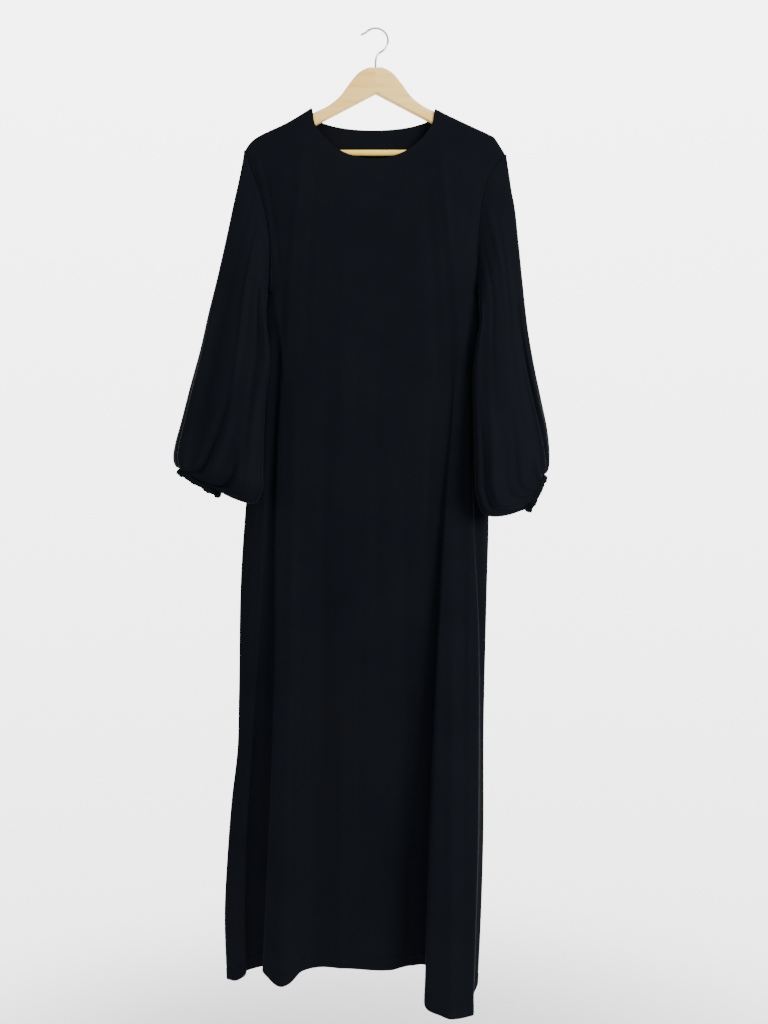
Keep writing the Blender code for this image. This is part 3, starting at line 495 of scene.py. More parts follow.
def drawn_steel():
    """Bright wire: a mirror-like metal with a slightly uneven polish."""
    material = new_material("bright_steel", Base_Color=(0.70, 0.70, 0.69, 1.0), Metallic=1.0)
    even = object_pattern(material, (1.0, 1.0, 1.0))
    wear = noise(material, even, 260.0, 3.0, 0.6)
    shader_input(material, "Roughness", map_range(material, wear, (0.0, 1.0, 0.14, 0.30)))
    shader_input(material, "Normal", add_bump(material, wear, 0.05, 0.0001))
    return material


left_board = ((0.97, 0.68, 0.23), (0.97, 0.62, 0.17), (0.88, 0.50, 0.11))
# The right arm's colours are the left's made a little paler: painted light, for the light that falls more on
# the right arm's faces.
right_board_painted_paler = ((0.98, 0.72, 0.25), (0.98, 0.65, 0.18), (0.91, 0.54, 0.12))
maple = {
    "left": wood("maple_left", *left_board, 0.42),
    # The two arms' maple differs only in grain place and in the right one's painted lighter tone.
    "right": wood("maple_right_painted_paler", *right_board_painted_paler, 0.42, (3.0, 7.0, 5.0)),
}
rod_wood = wood("rod_wood", (0.97, 0.72, 0.15), (0.97, 0.64, 0.10), (0.90, 0.53, 0.07), 0.40)
steel = drawn_steel()
print("materials:", *(board.name for board in maple.values()), rod_wood.name, steel.name)

# %% [markdown]
# ## The surface of a panel
#
# A panel could be a flat sheet dropped on the hanger by a cloth simulation. Here it is worked out instead,
# because the folds have to stand where the picture has them: every point has a distance s down from the
# shoulder seam and a place across between the two edges. The cloth turns over the arm in a quarter circle,
# stands out by the bulge, the folds and the waves, and rounds into the side seams. It is the CAD model's own
# surface on a grid some ten times finer.

# %% How the cloth falls from the shoulder
NEAR_ROWS = (0.0, 0.001, 0.002, 0.0037, 0.0054, 0.0071, 0.0088, 0.0105, 0.0123)
ARMHOLE_ROWS = 62  # rows from the turn over the arm down to the underarm
ARMHOLE_START = 26.0  # degrees round the armhole at which they start
EDGE_SHARE = np.linspace(0.0, 1.0, 5)  # columns of the strip beside each edge
STRIP = len(EDGE_SHARE)
# The last rows, in mm above the hem, and the whole length below the underarm in mm.
HEM_ROWS = np.array([34, 28, 24, 22, 21, 20.3, 19.6, 18.8, 17.5, 14, 10, 6, 3, 1.2, 0.0])
UNDERARM_TO_HEM = 1185.0


def over_arm(s):
    """Depth and drop at the distance s from the shoulder seam: level, a quarter turn, straight down."""
    angle = np.clip((s - SEAM_STRIP) / ARM_ROUND, 0.0, pi / 2)
    beyond = np.maximum(s - SEAM_STRIP - ARM_ROUND * pi / 2, 0.0)
    depth = np.clip(s, 0.0, SEAM_STRIP) + ARM_ROUND * np.sin(angle)
    return depth, ARM_ROUND * (1.0 - np.cos(angle)) + beyond


def along_for_drop(drop):
    """The distance from the shoulder seam at which the cloth has dropped this far."""
    angle = np.arccos(np.clip(1.0 - drop / ARM_ROUND, 0.0, 1.0))
    straight = np.maximum(drop - ARM_ROUND, 0.0)
    return np.where(drop > 0.0, SEAM_STRIP + ARM_ROUND * angle + straight, 0.0)


def closing(down):
    """0 along the open armhole, then a quarter circle to 1, where the panels meet at the side seam."""
    t = np.clip((down - CLOSING_START) / (UNDERARM_DOWN - CLOSING_START), 0.0, 1.0)
    return 1.0 - np.sqrt(1.0 - t * t)


def row_distances(s_start, s_underarm, s_end, lower_shares):
    """Rows that turn over the arm, then equal angles round half the armhole, then shares of the way down."""
    start = np.radians(ARMHOLE_START)
    turn = np.linspace(start, pi, ARMHOLE_ROWS + 1)[1:, None]
    near = s_start + np.array(NEAR_ROWS)[:, None]
    upper = near[-1] + (s_underarm - near[-1]) * (np.cos(start) - np.cos(turn)) / (np.cos(start) + 1.0)
    lower = s_underarm + (s_end - s_underarm) * np.array(lower_shares)[:, None]
    return np.concatenate([near, upper, lower])


def hem_shares(count):
    """Even shares from the underarm to 47 mm above the hem, then rows at set heights for its turned edge."""
    even = np.linspace(0.0, 0.96, count + 1)[1:]
    return np.concatenate([even, 1.0 - HEM_ROWS / UNDERARM_TO_HEM])


LOWER_SHARES = hem_shares(128)
print("rows of a panel:", len(NEAR_ROWS) + ARMHOLE_ROWS + len(LOWER_SHARES))

# %% [markdown]
# ### Columns
#
# The columns start evenly along the shoulders and round the neck, and end crowded at the folds, because a
# fold needs many columns where the cloth doubles back and few where it is flat.

# %% Columns of a panel
def crowded(count, at_start=True, at_end=True, most=0.75):
    """Shares from 0 up to, not including, 1, closer together at one end or at both.

    Both ends: t - most sin(2 pi t) / (2 pi). One end: a parabola that leaves it with the slope 1 - most.
    """
    t = np.arange(count) / count
    if at_start and at_end:
        return t - most * np.sin(2.0 * pi * t) / (2.0 * pi)
    if at_start:
        return (1.0 - most) * t + most * t * t
    if at_end:
        return (1.0 + most) * t - most * t * t
    return t


def top_columns(left_count, neck_count, right_count):
    """Starts of the columns: crowded to the shoulder points by a power, and by angles round the neck."""
    left_end, right_end = OVER_ARMS["x"][[0, -1]]
    left = np.linspace(0.0, 1.0, left_count + 1)[1:-1] ** SHOULDER_CROWDING
    left = left_end + EDGE_COLUMN + (NECK_LEFT - left_end - EDGE_COLUMN) * left
    right = 1.0 - (1.0 - np.linspace(0.0, 1.0, right_count + 1)[1:-1]) ** SHOULDER_CROWDING
    right = NECK_RIGHT + (right_end - EDGE_COLUMN - NECK_RIGHT) * right
    centre = (NECK_LEFT + NECK_RIGHT) / 2
    half = (NECK_RIGHT - NECK_LEFT) / 2
    angle = np.linspace(pi, 0.0, neck_count + 1)
    angle = angle + 0.35 * np.sin(2.0 * angle) / 2.0
    neck = centre + half * np.cos(angle)
    strip = EDGE_COLUMN * EDGE_SHARE
    return np.concatenate([left_end + strip, left, neck, right, (right_end - strip)[::-1]])


def fold_columns(down, shares, folds):
    """For every row and column, its place between the left edge (0) and the right edge (1)."""
    left = read_table(LEFT_EDGE, "x", down)
    right = read_table(RIGHT_EDGE, "x", down)
    lines = [left] + [read_table(fold, "x", down) for fold in folds.values()] + [right]
    lines = np.stack(lines)
    group = np.minimum(np.floor(shares).astype(int), len(lines) - 2)
    within = shares - group
    column = np.arange(down.shape[1])
    start = lines[group, :, column].T
    end = lines[group + 1, :, column].T
    return (start + within * (end - start) - left) / (right - left)


print("columns: helpers are ready")

# %% [markdown]
# ### Small creases
#
# Between the large folds real cloth is never smooth. It has long, shallow creases where it drags from the
# neck and the underarms, and short ones where a hand has bent it. Each row of the tables below is one crease:
# its place across at the start, middle and end, how far down it starts and ends, its width, and how far the
# cloth stands out there, in or out. They are listed one by one and no two are alike.

# %% Tables of creases
CREASE_COLUMNS = "x0 x1 x2 start end width out"
AT_HEM = 1.65  # creases that end below this reach the hem
FRONT_CREASES = table(
    CREASE_COLUMNS,
    (-0.118, -0.137, -0.15, 0.175, 0.52, 0.0075, 0.0013),
    (-0.098, -0.112, -0.121, 0.215, 0.6, 0.009, -0.0011),
    (0.11, 0.127, 0.139, 0.18, 0.5, 0.008, 0.0014),
    (0.085, 0.103, 0.113, 0.225, 0.66, 0.01, -0.0012),
    (-0.196, -0.176, -0.163, 0.225, 0.44, 0.006, -0.0016),
    (-0.206, -0.192, -0.184, 0.22, 0.33, 0.005, 0.0012),
    (0.196, 0.176, 0.161, 0.235, 0.45, 0.006, -0.0019),
    (0.205, 0.19, 0.178, 0.225, 0.36, 0.0055, 0.0013),
    (-0.175, -0.163, -0.15, 0.44, 0.62, 0.006, 0.0015),
    (0.168, 0.154, 0.145, 0.45, 0.63, 0.0065, 0.0014),
    (-0.044, -0.05, -0.049, 0.3, 0.95, 0.016, 0.0014),
    (0.012, 0.004, 0.009, 0.42, 1.2, 0.012, -0.0012),
    (-0.08, -0.086, -0.083, 0.55, 1.35, 0.011, -0.0015),
    (0.046, 0.055, 0.061, 0.7, 1.6, 0.012, -0.0016),
    (-0.135, -0.143, -0.146, 0.62, 1.64, 0.008, 0.002),
    (-0.122, -0.127, -0.124, 0.88, 1.66, 0.007, -0.0018),
    (-0.06, -0.056, -0.062, 1.05, 1.66, 0.009, 0.0013),
    (-0.02, -0.026, -0.02, 0.95, 1.52, 0.008, -0.0011),
    (0.03, 0.026, 0.033, 1.18, 1.66, 0.007, 0.0012),
    (0.1, 0.092, 0.086, 0.64, 0.96, 0.007, -0.0013),
    (0.116, 0.112, 0.104, 1.02, 1.55, 0.006, 0.0016),
    (0.134, 0.131, 0.124, 0.7, 1.68, 0.008, 0.0018),
    (0.152, 0.15, 0.144, 0.93, 1.64, 0.0055, -0.0015),
    (0.162, 0.161, 0.155, 0.6, 1.24, 0.006, 0.0013),
    (-0.212, -0.222, -0.232, 0.9, 1.6, 0.005, 0.0015),
    (-0.226, -0.24, -0.246, 1.1, 1.66, 0.006, -0.0013),
    (-0.184, -0.186, -0.199, 1.02, 1.56, 0.0055, -0.0012),
    (-0.205, -0.205, -0.207, 0.56, 0.92, 0.0065, 0.0012),
)
BACK_CREASES = table(
    CREASE_COLUMNS,
    (-0.116, -0.133, -0.148, 0.17, 0.56, 0.0085, 0.0014),
    (-0.093, -0.104, -0.118, 0.19, 0.7, 0.01, -0.0013),
    (0.108, 0.124, 0.14, 0.175, 0.49, 0.008, 0.0013),
    (0.088, 0.098, 0.103, 0.2, 0.62, 0.0095, -0.0012),
    (-0.2, -0.18, -0.16, 0.225, 0.47, 0.0065, -0.0018),
    (0.199, 0.176, 0.16, 0.235, 0.43, 0.006, -0.0016),
    (-0.176, -0.165, -0.158, 0.47, 0.72, 0.007, 0.0015),
    (0.166, 0.156, 0.152, 0.46, 0.8, 0.0065, 0.0014),
    (-0.03, -0.036, -0.028, 0.24, 0.86, 0.015, 0.0016),
    (0.02, 0.028, 0.022, 0.33, 1.1, 0.013, -0.0014),
    (-0.07, -0.082, -0.09, 0.62, 1.4, 0.01, -0.0017),
    (0.06, 0.056, 0.048, 0.56, 1.62, 0.0095, 0.0018),
    (-0.108, -0.113, -0.11, 0.8, 1.66, 0.008, 0.0019),
    (-0.012, -0.006, -0.014, 0.98, 1.66, 0.008, 0.0016),
    (-0.048, -0.044, -0.05, 1.15, 1.6, 0.006, -0.0013),
    (0.112, 0.118, 0.124, 0.75, 1.66, 0.008, -0.0017),
    (0.15, 0.148, 0.142, 1.0, 1.6, 0.0065, 0.0015),
    (-0.168, -0.176, -0.18, 0.94, 1.66, 0.007, -0.0016),
    (-0.208, -0.216, -0.226, 0.86, 1.52, 0.006, 0.0014),
    (0.168, 0.166, 0.16, 0.66, 1.3, 0.006, -0.0014),
)


def crease_relief(x, down, creases):
    """The sum of all creases.

    Each has a line, the parabola through x0, x1 and x2 at its start, middle and end. Across the line it is a
    bell that is steeper on one side, (1 - u / 2) exp(-u^2) at u widths from it. Along the line it swells and
    fades as sin(pi t)^0.7, and one that reaches the hem only swells.
    """
    relief = np.zeros_like(x)
    for x0, x1, x2, start, end, width, out in zip(*creases.values()):
        t = np.clip((down - start) / (end - start), 0.0, 1.0)
        line = x0 * (1.0 - t) * (1.0 - 2.0 * t) + 4.0 * x1 * t * (1.0 - t) + x2 * t * (2.0 * t - 1.0)
        u = (x - line) / width
        reach = np.sin(pi * t) ** 0.7 if end < AT_HEM else eased(2.5 * t)
        relief += out * reach * (1.0 - 0.5 * u) * np.exp(-u * u)
    return relief


def surface_normals(points, ring=False):
    """Unit normals of a grid, from the steps down and across it. A ring is closed across."""
    down = np.gradient(points, axis=0)
    if ring:
        across = np.roll(points, -1, axis=1) - np.roll(points, 1, axis=1)
    else:
        across = np.gradient(points, axis=1)
    normal = np.cross(down, across)
    return normal / np.maximum(np.linalg.norm(normal, axis=-1, keepdims=True), 1e-12)


print("creases:", len(FRONT_CREASES["out"]), "in front,", len(BACK_CREASES["out"]), "behind")

# %% [markdown]
# ### The whole panel
#
# A panel starts as columns of points that run down the cloth from its upper edge to its hem. This cell finds
# the two ends of each column, and where across the panel it runs.

# %% Edges and places of a panel
HEM_LINE = 1.62  # how far down the columns are spread along the hem


def neck_edge(x_top, top, neck):
    """How far each column starts inside the neck's peaks, its upper edge, and its first distance down.

    Round the neck the edge is depth x (1 - across^2)^power below the peaks. Beside a peak it first runs down
    the cloth that turns over the arm, in the steps of NECK_TURN_IN and NECK_TURN_ALONG.
    """
    inward = np.minimum(x_top - NECK_LEFT, NECK_RIGHT - x_top)

    def curve(inside):
        """The neck's curve at a distance inside the peaks, as a distance down."""
        across = np.clip(1.0 - inside / ((NECK_RIGHT - NECK_LEFT) / 2), 0.0, 1.0)
        return NECK_PEAK_DOWN + neck[0] * (1.0 - across**2) ** neck[1]

    edge = np.where(inward > ON_SEAM, curve(inward), top)
    corners = np.array([NECK_LEFT + NECK_CURVE_IN, NECK_RIGHT - NECK_CURVE_IN])
    corner_s = along_for_drop(curve(NECK_CURVE_IN) - read_table(OVER_ARMS, "down", corners, "x"))
    corner_s = np.where(x_top < 0.0, corner_s[0], corner_s[1])
    climb = np.clip((inward - NECK_TURN_IN[-1]) / (NECK_CURVE_IN - NECK_TURN_IN[-1]), 0.0, 1.0)
    turned = np.interp(inward, NECK_TURN_IN, NECK_TURN_ALONG) + (corner_s - NECK_TURN_ALONG[-1]) * climb
    by_curve = along_for_drop(np.maximum(edge - top, 0.0))
    s_start = np.where(inward < ON_SEAM, 0.0, np.where(inward < NECK_CURVE_IN, turned, by_curve))
    return inward, edge, s_start


def hem_distance(x_top, top, shares, hem, folds):
    """How far down the cloth the hem is, for each column."""
    place = fold_columns(np.full((1, len(x_top)), HEM_LINE), shares, folds)[0]
    x_hem = LEFT_EDGE["x"][-1] + place * (RIGHT_EDGE["x"][-1] - LEFT_EDGE["x"][-1])
    return along_for_drop(read_table(hem, "down", x_hem, "x") - top)


def places_across(x_top, down, edge, shares, folds):
    """Each point's place across, and its row's left and right edge.

    High up the columns go straight down from the shoulders and the neck. Lower down they run with the folds,
    and over SPREAD_HEIGHT below the panel's upper edge one eases into the other.
    """
    left_own = read_table(LEFT_EDGE, "x", down)
    right_own = read_table(RIGHT_EDGE, "x", down)
    by_left = np.clip((NECK_LEFT - x_top) / (NECK_LEFT - x_top[0]), 0.0, 1.0)
    by_right = np.clip((x_top - NECK_RIGHT) / (x_top[-1] - NECK_RIGHT), 0.0, 1.0)
    x_high = x_top + by_left * (left_own[:, :1] - x_top[0]) + by_right * (right_own[:, -1:] - x_top[-1])
    x_low = left_own + fold_columns(down, shares, folds) * (right_own - left_own)
    mix = eased((down - edge) / SPREAD_HEIGHT)
    left = left_own[:, :1] * (1.0 - mix) + left_own * mix
    right = right_own[:, -1:] * (1.0 - mix) + right_own * mix
    return x_high * (1.0 - mix) + x_low * mix, left, right


print("edges: helpers are ready")

# %% [markdown]
# ### Its folds, sides and sewing
#
# The cloth first stands out beyond the arm by the bulge, the folds and the waves. Then the two sides close up
# to their seams. A seam pulls its edge in by half a millimetre, and the hem is turned up 20 mm and stitched,
# which thickens it and leaves a faint line.

# %% Folds, closed sides and sewing of a panel
EDGE_EASE = 0.012  # from the panel's edge to where the folds have their full height
CREASE_EASE = 0.020  # and the creases theirs
BULGE_AT_EDGE = 0.15  # how far along its curve the bulge starts
SOFT_CLOSING = (0.400, 0.085)  # where the cloth away from the edges starts to close, and over what height
HEM_TURN = 0.020
HEM_RAISE = 0.0004  # of the second layer
STITCH_DIP = 0.0005
STITCH_WIDTH = 0.0012
SEAM_DIP = 0.0005
SEAM_WIDTH = 0.0022


def stand_and_lap(x, down, from_edge, bulge, folds, waves):
    """How far the cloth stands out beyond the arm, and how far it laps sideways.

    At t widths from a fold's line the cloth has risen by "rise" x eased((t + 1) / 2) and is moved back by
    "lap" x t exp(-t^2). A wave is a bell across its line, exp(-t^2), that grows on its way down.
    """
    stand = read_table(BULGE, bulge, down) * eased(from_edge / BULGE_WIDTH + BULGE_AT_EDGE)
    inside = eased(from_edge / SIDE_ROUND)
    lap = np.zeros_like(x)
    for fold in folds.values():
        t = (x - read_table(fold, "x", down)) / read_table(fold, "width", down)
        stand += read_table(fold, "rise", down) * eased((t + 1.0) / 2.0)
        lap -= read_table(fold, "lap", down) * t * np.exp(-t * t) * inside
    for x_top, x_hem, width, start, out in zip(*waves.values()):
        line = x_top + (x_hem - x_top) * (down - WAVE_TOP) / WAVE_HEIGHT
        reach = eased((down - start) / (WAVE_FULL - start))
        stand += out * reach * np.exp(-(((x - line) / width) ** 2))
    return stand * eased(from_edge / EDGE_EASE), lap


def closed_sides(x, down, depth, from_edge, left, right):
    """Places and depths, with both sides closed below the underarm.

    Below it the depth rounds into the side seam in a quarter circle. In the strip beside each edge the
    columns close up to the edge, from the armhole's own depth to the two sides of the seam.
    """
    start, height = SOFT_CLOSING
    near = eased(from_edge / EDGE_EASE)
    close = closing(down) * (1.0 - near) + eased((down - start) / height) * near
    rounded = SIDE_STRIP + (depth - SIDE_STRIP) * quarter_round(from_edge / SIDE_ROUND)
    y = depth * (1.0 - close) + rounded * close
    for columns, own, line, share, sign in (
        (slice(0, STRIP), slice(0, 1), left, EDGE_SHARE, 1.0),
        (slice(-STRIP, None), slice(-1, None), right, EDGE_SHARE[::-1], -1.0),
    ):
        shut = closing(down[:, columns])
        seam = UNDERARM_EASE * np.exp((UNDERARM_DOWN - down[:, own]) / EASE_HEIGHT)
        x[:, columns] = line[:, own] + sign * EDGE_COLUMN * share * (1.0 - shut)
        y[:, columns] = depth[:, own] * (1.0 - shut) + (seam * (1.0 - share) + SIDE_STRIP * share) * shut
    return x, y


def sewing(points, s, from_hem, on_shoulder):
    """Dips along the seams, the hem's second layer and the line of its stitches.

    A dip is SEAM_DIP x exp(-t^2) at t seam widths from the side or shoulder seam.
    """
    sewn_edge = np.minimum(arc_lengths(points, 1), arc_lengths(points[:, ::-1], 1)[:, ::-1])
    relief = -SEAM_DIP * np.exp(-((sewn_edge / SEAM_WIDTH) ** 2))
    relief -= SEAM_DIP * np.exp(-((s / SEAM_WIDTH) ** 2)) * on_shoulder
    relief += HEM_RAISE * eased((HEM_TURN - from_hem) / 0.0015)
    relief -= STITCH_DIP * np.exp(-(((from_hem - HEM_TURN - 0.0003) / STITCH_WIDTH) ** 2))
    return relief


print("folds: helpers are ready")

# %% [markdown]
# ### The front panel
#
# The panel puts these steps together in the order of the cutting room: edges, fall, folds, sides and sewing.
# Creases and sewing are small, so they move the cloth along its own normal. A second wall inside the surface
# gives it the crepe's thickness.

# %% Build the front panel
CLOTH = 0.0008  # thickness of the crepe with its nap


def panel_grid(face, counts, shares, neck, hem, folds, waves, bulge, creases):
    """The outer surface of a panel: of the front with face -1, and of the back with face +1."""
    x_top = top_columns(*counts)
    top = read_table(OVER_ARMS, "down", x_top, "x")
    inward, edge, s_start = neck_edge(x_top, top, neck)
    s_end = hem_distance(x_top, top, shares, hem, folds)
    s = row_distances(s_start, along_for_drop(UNDERARM_DOWN - top), s_end, LOWER_SHARES)
    depth, drop = over_arm(s)
    down = top + drop
    x, left, right = places_across(x_top, down, edge, shares, folds)
    from_edge = np.maximum(np.minimum(x - left, right - x), 0.0)
    stand, lap = stand_and_lap(x, down, from_edge, bulge, folds, waves)
    relief = crease_relief(x, down, creases) * eased(from_edge / CREASE_EASE)
    x, y = closed_sides(x, down, depth + stand, from_edge, left, right)
    for values in (lap, relief):
        values[:, :STRIP] = 0.0
        values[:, -STRIP:] = 0.0
    points = np.stack([x + lap, face * y, -down], axis=-1)
    relief += sewing(points, s, s_end - s, inward < ON_SEAM)
    normals = surface_normals(points)
    normals *= np.sign((normals[..., 1] * face).mean())
    return points + normals * relief[..., None]


def cloth_piece(node, points, ring=False, flip=False):
    """A grid as a piece of crepe that stands for a CAD node. Its thickness goes inwards, as in the CAD."""
    name = f"{node}_cloth"
    piece = add_piece(name, grid_mesh(name, points, ring, flip), cloth, node)
    wall = piece.modifiers.new("thickness", "SOLIDIFY")
    wall.thickness = CLOTH
    wall.offset = -1.0
    return piece


def fold_shares(*stretches):
    """Places of the inner columns: each stretch runs from one share to another, with the shares crowded."""
    parts = [start + (end - start) * spread for start, end, spread in stretches]
    return np.concatenate([np.zeros(STRIP), *parts, np.full(STRIP, np.ceil(parts[-1][-1]))])


FRONT_COUNTS = (48, 62, 75)  # columns left of the neck, round it and right of it
FRONT_SHARES = fold_shares(
    (0.02, 1.0, crowded(14, False, True)),
    (1.0, 2.0, crowded(18)),
    (2.0, 2.11, crowded(15, True, False)),
    (2.11, 2.885, np.arange(63) / 62),
    (2.885, 3.0, crowded(21, False, True)[1:]),
    (3.0, 4.0, crowded(42)),
    (4.0, 4.98, crowded(12, True, False)),
)
front_tables = (FRONT_NECK, FRONT_HEM, FRONT_FOLDS, FRONT_WAVES, "front", FRONT_CREASES)
front_points = panel_grid(-1.0, FRONT_COUNTS, FRONT_SHARES, *front_tables)
front_cloth = cloth_piece("front_panel", front_points)
print("front panel:", front_points.shape[:2], "points")

# %% [markdown]
# ### The back
#
# The back is the same function with its own tables: a shallow neck, two broad soft folds and its own creases.
# The picture doesn't show it, so it follows what such a garment does when it hangs free.

# %% The back panel
BACK_COUNTS = (41, 56, 41)
BACK_SHARES = fold_shares(
    (0.02, 1.0, crowded(26, False, True)),
    (1.0, 1.12, crowded(14, True, False)),
    (1.12, 1.82, np.arange(57) / 56),
    (1.82, 2.0, crowded(17, False, True)[1:]),
    (2.0, 2.98, crowded(24, True, False)),
)
back_tables = (BACK_NECK, BACK_HEM, BACK_FOLDS, BACK_WAVES, "back", BACK_CREASES)
back_points = panel_grid(1.0, BACK_COUNTS, BACK_SHARES, *back_tables)
back_cloth = cloth_piece("back_panel", back_points, flip=True)
print("back panel:", back_points.shape[:2], "points")

# %% [markdown]
# ## The sleeves
#
# A balloon sleeve is one wide piece of cloth, sewn into the armhole, that is gathered into a narrow cuff.
# Hanging free it is nearly flat, and its spare length bags out above the cuff. It is worked out as a tube:
# each ring is a flattened loop between an outer and an inner edge point. The first ring is the armhole
# itself, point for point, so the seam closes.

# %% Rings of the sleeves
# Rings of the sleeves below the armhole. Each is a flattened loop from an outer edge point to an inner edge
# point, half_depth thick on each side, and it keeps front_shape and back_shape of the armhole's curve.
RING_COLUMNS = "out_x out_down out_y in_x in_down in_y half_depth front_shape back_shape gather"
LEFT_SLEEVE = table(
    RING_COLUMNS,
    (-0.2272, 0.2155, 0.0, -0.1856, 0.459, -0.002, 0.009, 0.85, 0.85, 0.0),
    (-0.2302, 0.2338, 0.0, -0.1862, 0.4665, -0.008, 0.01, 0.65, 0.5, 0.0),
    (-0.2371, 0.2683, -0.001, -0.1866, 0.4775, -0.015, 0.011, 0.45, 0.2, 0.0),
    (-0.2441, 0.3004, -0.002, -0.1864, 0.494, -0.021, 0.012, 0.32, 0.05, 0.0),
    (-0.2558, 0.3564, -0.004, -0.1855, 0.515, -0.026, 0.0125, 0.14, 0.0, 0.0),
    (-0.272, 0.43, -0.007, -0.181, 0.542, -0.03, 0.013, 0.04, 0.0, 0.0),
    (-0.287, 0.4929, -0.01, -0.1785, 0.582, -0.033, 0.014, 0.0, 0.0, 0.0),
    (-0.3007, 0.5561, -0.013, -0.1845, 0.636, -0.038, 0.0165, 0.0, 0.0, 0.0),
    (-0.3174, 0.6216, -0.017, -0.1868, 0.68, -0.043, 0.02, 0.0, 0.0, 0.2),
    (-0.3312, 0.6813, -0.021, -0.1876, 0.725, -0.048, 0.0245, 0.0, 0.0, 0.5),
    (-0.34, 0.72, -0.025, -0.188, 0.768, -0.052, 0.028, 0.0, 0.0, 0.9),
    (-0.3417, 0.74, -0.029, -0.1895, 0.8, -0.054, 0.0295, 0.0, 0.0, 1.0),
    (-0.3392, 0.75, -0.034, -0.203, 0.82, -0.052, 0.0265, 0.0, 0.0, 1.0),
    (-0.3355, 0.756, -0.037, -0.231, 0.813, -0.05, 0.0225, 0.0, 0.0, 0.8),
    (-0.33, 0.758, -0.041, -0.258, 0.8005, -0.047, 0.0175, 0.0, 0.0, 0.6),
)
RIGHT_SLEEVE = table(
    RING_COLUMNS,
    (0.2266, 0.223, 0.0, 0.1771, 0.459, -0.002, 0.009, 0.85, 0.85, 0.0),
    (0.23, 0.245, 0.0, 0.1777, 0.4665, -0.008, 0.01, 0.65, 0.5, 0.0),
    (0.235, 0.28, -0.001, 0.1781, 0.4775, -0.015, 0.011, 0.45, 0.2, 0.0),
    (0.2399, 0.3067, -0.002, 0.1781, 0.494, -0.021, 0.012, 0.32, 0.05, 0.0),
    (0.2468, 0.3711, -0.004, 0.1775, 0.515, -0.026, 0.0125, 0.14, 0.0, 0.0),
    (0.2535, 0.44, -0.007, 0.1725, 0.542, -0.03, 0.013, 0.04, 0.0, 0.0),
    (0.2612, 0.5135, -0.01, 0.1665, 0.582, -0.033, 0.014, 0.0, 0.0, 0.0),
    (0.2721, 0.5824, -0.014, 0.1648, 0.634, -0.038, 0.0165, 0.0, 0.0, 0.0),
    (0.2833, 0.6408, -0.018, 0.1652, 0.676, -0.044, 0.02, 0.0, 0.0, 0.2),
    (0.2925, 0.6923, -0.022, 0.1658, 0.722, -0.049, 0.0245, 0.0, 0.0, 0.5),
    (0.2945, 0.723, -0.026, 0.1664, 0.768, -0.053, 0.028, 0.0, 0.0, 0.9),
    (0.294, 0.743, -0.03, 0.169, 0.808, -0.055, 0.0295, 0.0, 0.0, 1.0),
    (0.292, 0.757, -0.034, 0.185, 0.84, -0.053, 0.028, 0.0, 0.0, 1.0),
    (0.288, 0.766, -0.038, 0.219, 0.84, -0.05, 0.0245, 0.0, 0.0, 0.8),
    (0.28, 0.769, -0.041, 0.25, 0.83, -0.048, 0.0205, 0.0, 0.0, 0.6),
)
AROUND = 2 * (len(NEAR_ROWS) - 1 + ARMHOLE_ROWS)  # points in a ring: one for each row, front and back
EVEN_RING = 6  # the ring from which a sleeve's points stand at equal angles
ARMHOLE_STRIP = 0.0023  # flat strip of the sleeve beside the armhole
MOUTH_STRIP = 0.003  # flat strip of the sleeve beside the cuff
CUFF_WIDTH = 0.009
STEP = 0.0042  # between the rings of the fine grid
print("points round a sleeve:", AROUND)

# %% [markdown]
# ### From rings to a tube
#
# Fifteen rings are too few for cloth, so each point of the ring is carried along a smooth curve through all
# of them, in steps of about 4 mm.

# %% The plain tube of a sleeve
# Each side's edge of the panels, and the sign of X outwards.
SIDES = {"left": (LEFT_EDGE, -1.0), "right": (RIGHT_EDGE, 1.0)}


def armhole_half(side, face, s):
    """The armhole edge, s from the shoulder point, over the front (face -1) or the back (face +1)."""
    edge, outward = SIDES[side]
    depth, drop = over_arm(s)
    down = edge["down"][0] + drop
    x = read_table(edge, "x", down) - outward * SLEEVE_TUCK
    return np.stack([x, face * depth * (1.0 - closing(down)), -down], axis=-1)


def armhole_ring(side):
    """The armhole as a ring from the shoulder down the front and up the back, and each point's angle.

    The angle is arccos(1 - 2 s / length) in front, which counts equal drops as on a circle.
    """
    length = along_for_drop(UNDERARM_DOWN - SIDES[side][0]["down"][0])
    s = row_distances(0.0, length, length, ())[:, 0]
    half_turn = np.arccos(1.0 - 2.0 * s / length)
    ring = np.concatenate([armhole_half(side, -1.0, s), armhole_half(side, 1.0, s[1:-1][::-1])])
    return ring, np.concatenate([half_turn, 2.0 * pi - half_turn[1:-1][::-1]])


def flat_rings(outer, inner, half_depth, turn):
    """Flattened loops between edge points, round at both edges and half_depth thick on each side."""
    middle = (outer + inner)[:, None] / 2.0
    half = (outer - inner)[:, None] / 2.0
    from_edge = np.linalg.norm(half, axis=-1) * (1.0 - np.abs(np.cos(turn)))
    points = middle + half * np.cos(turn)[..., None]
    points[..., 1] -= half_depth * np.sign(np.sin(turn)) * quarter_round(from_edge / half_depth)
    return points


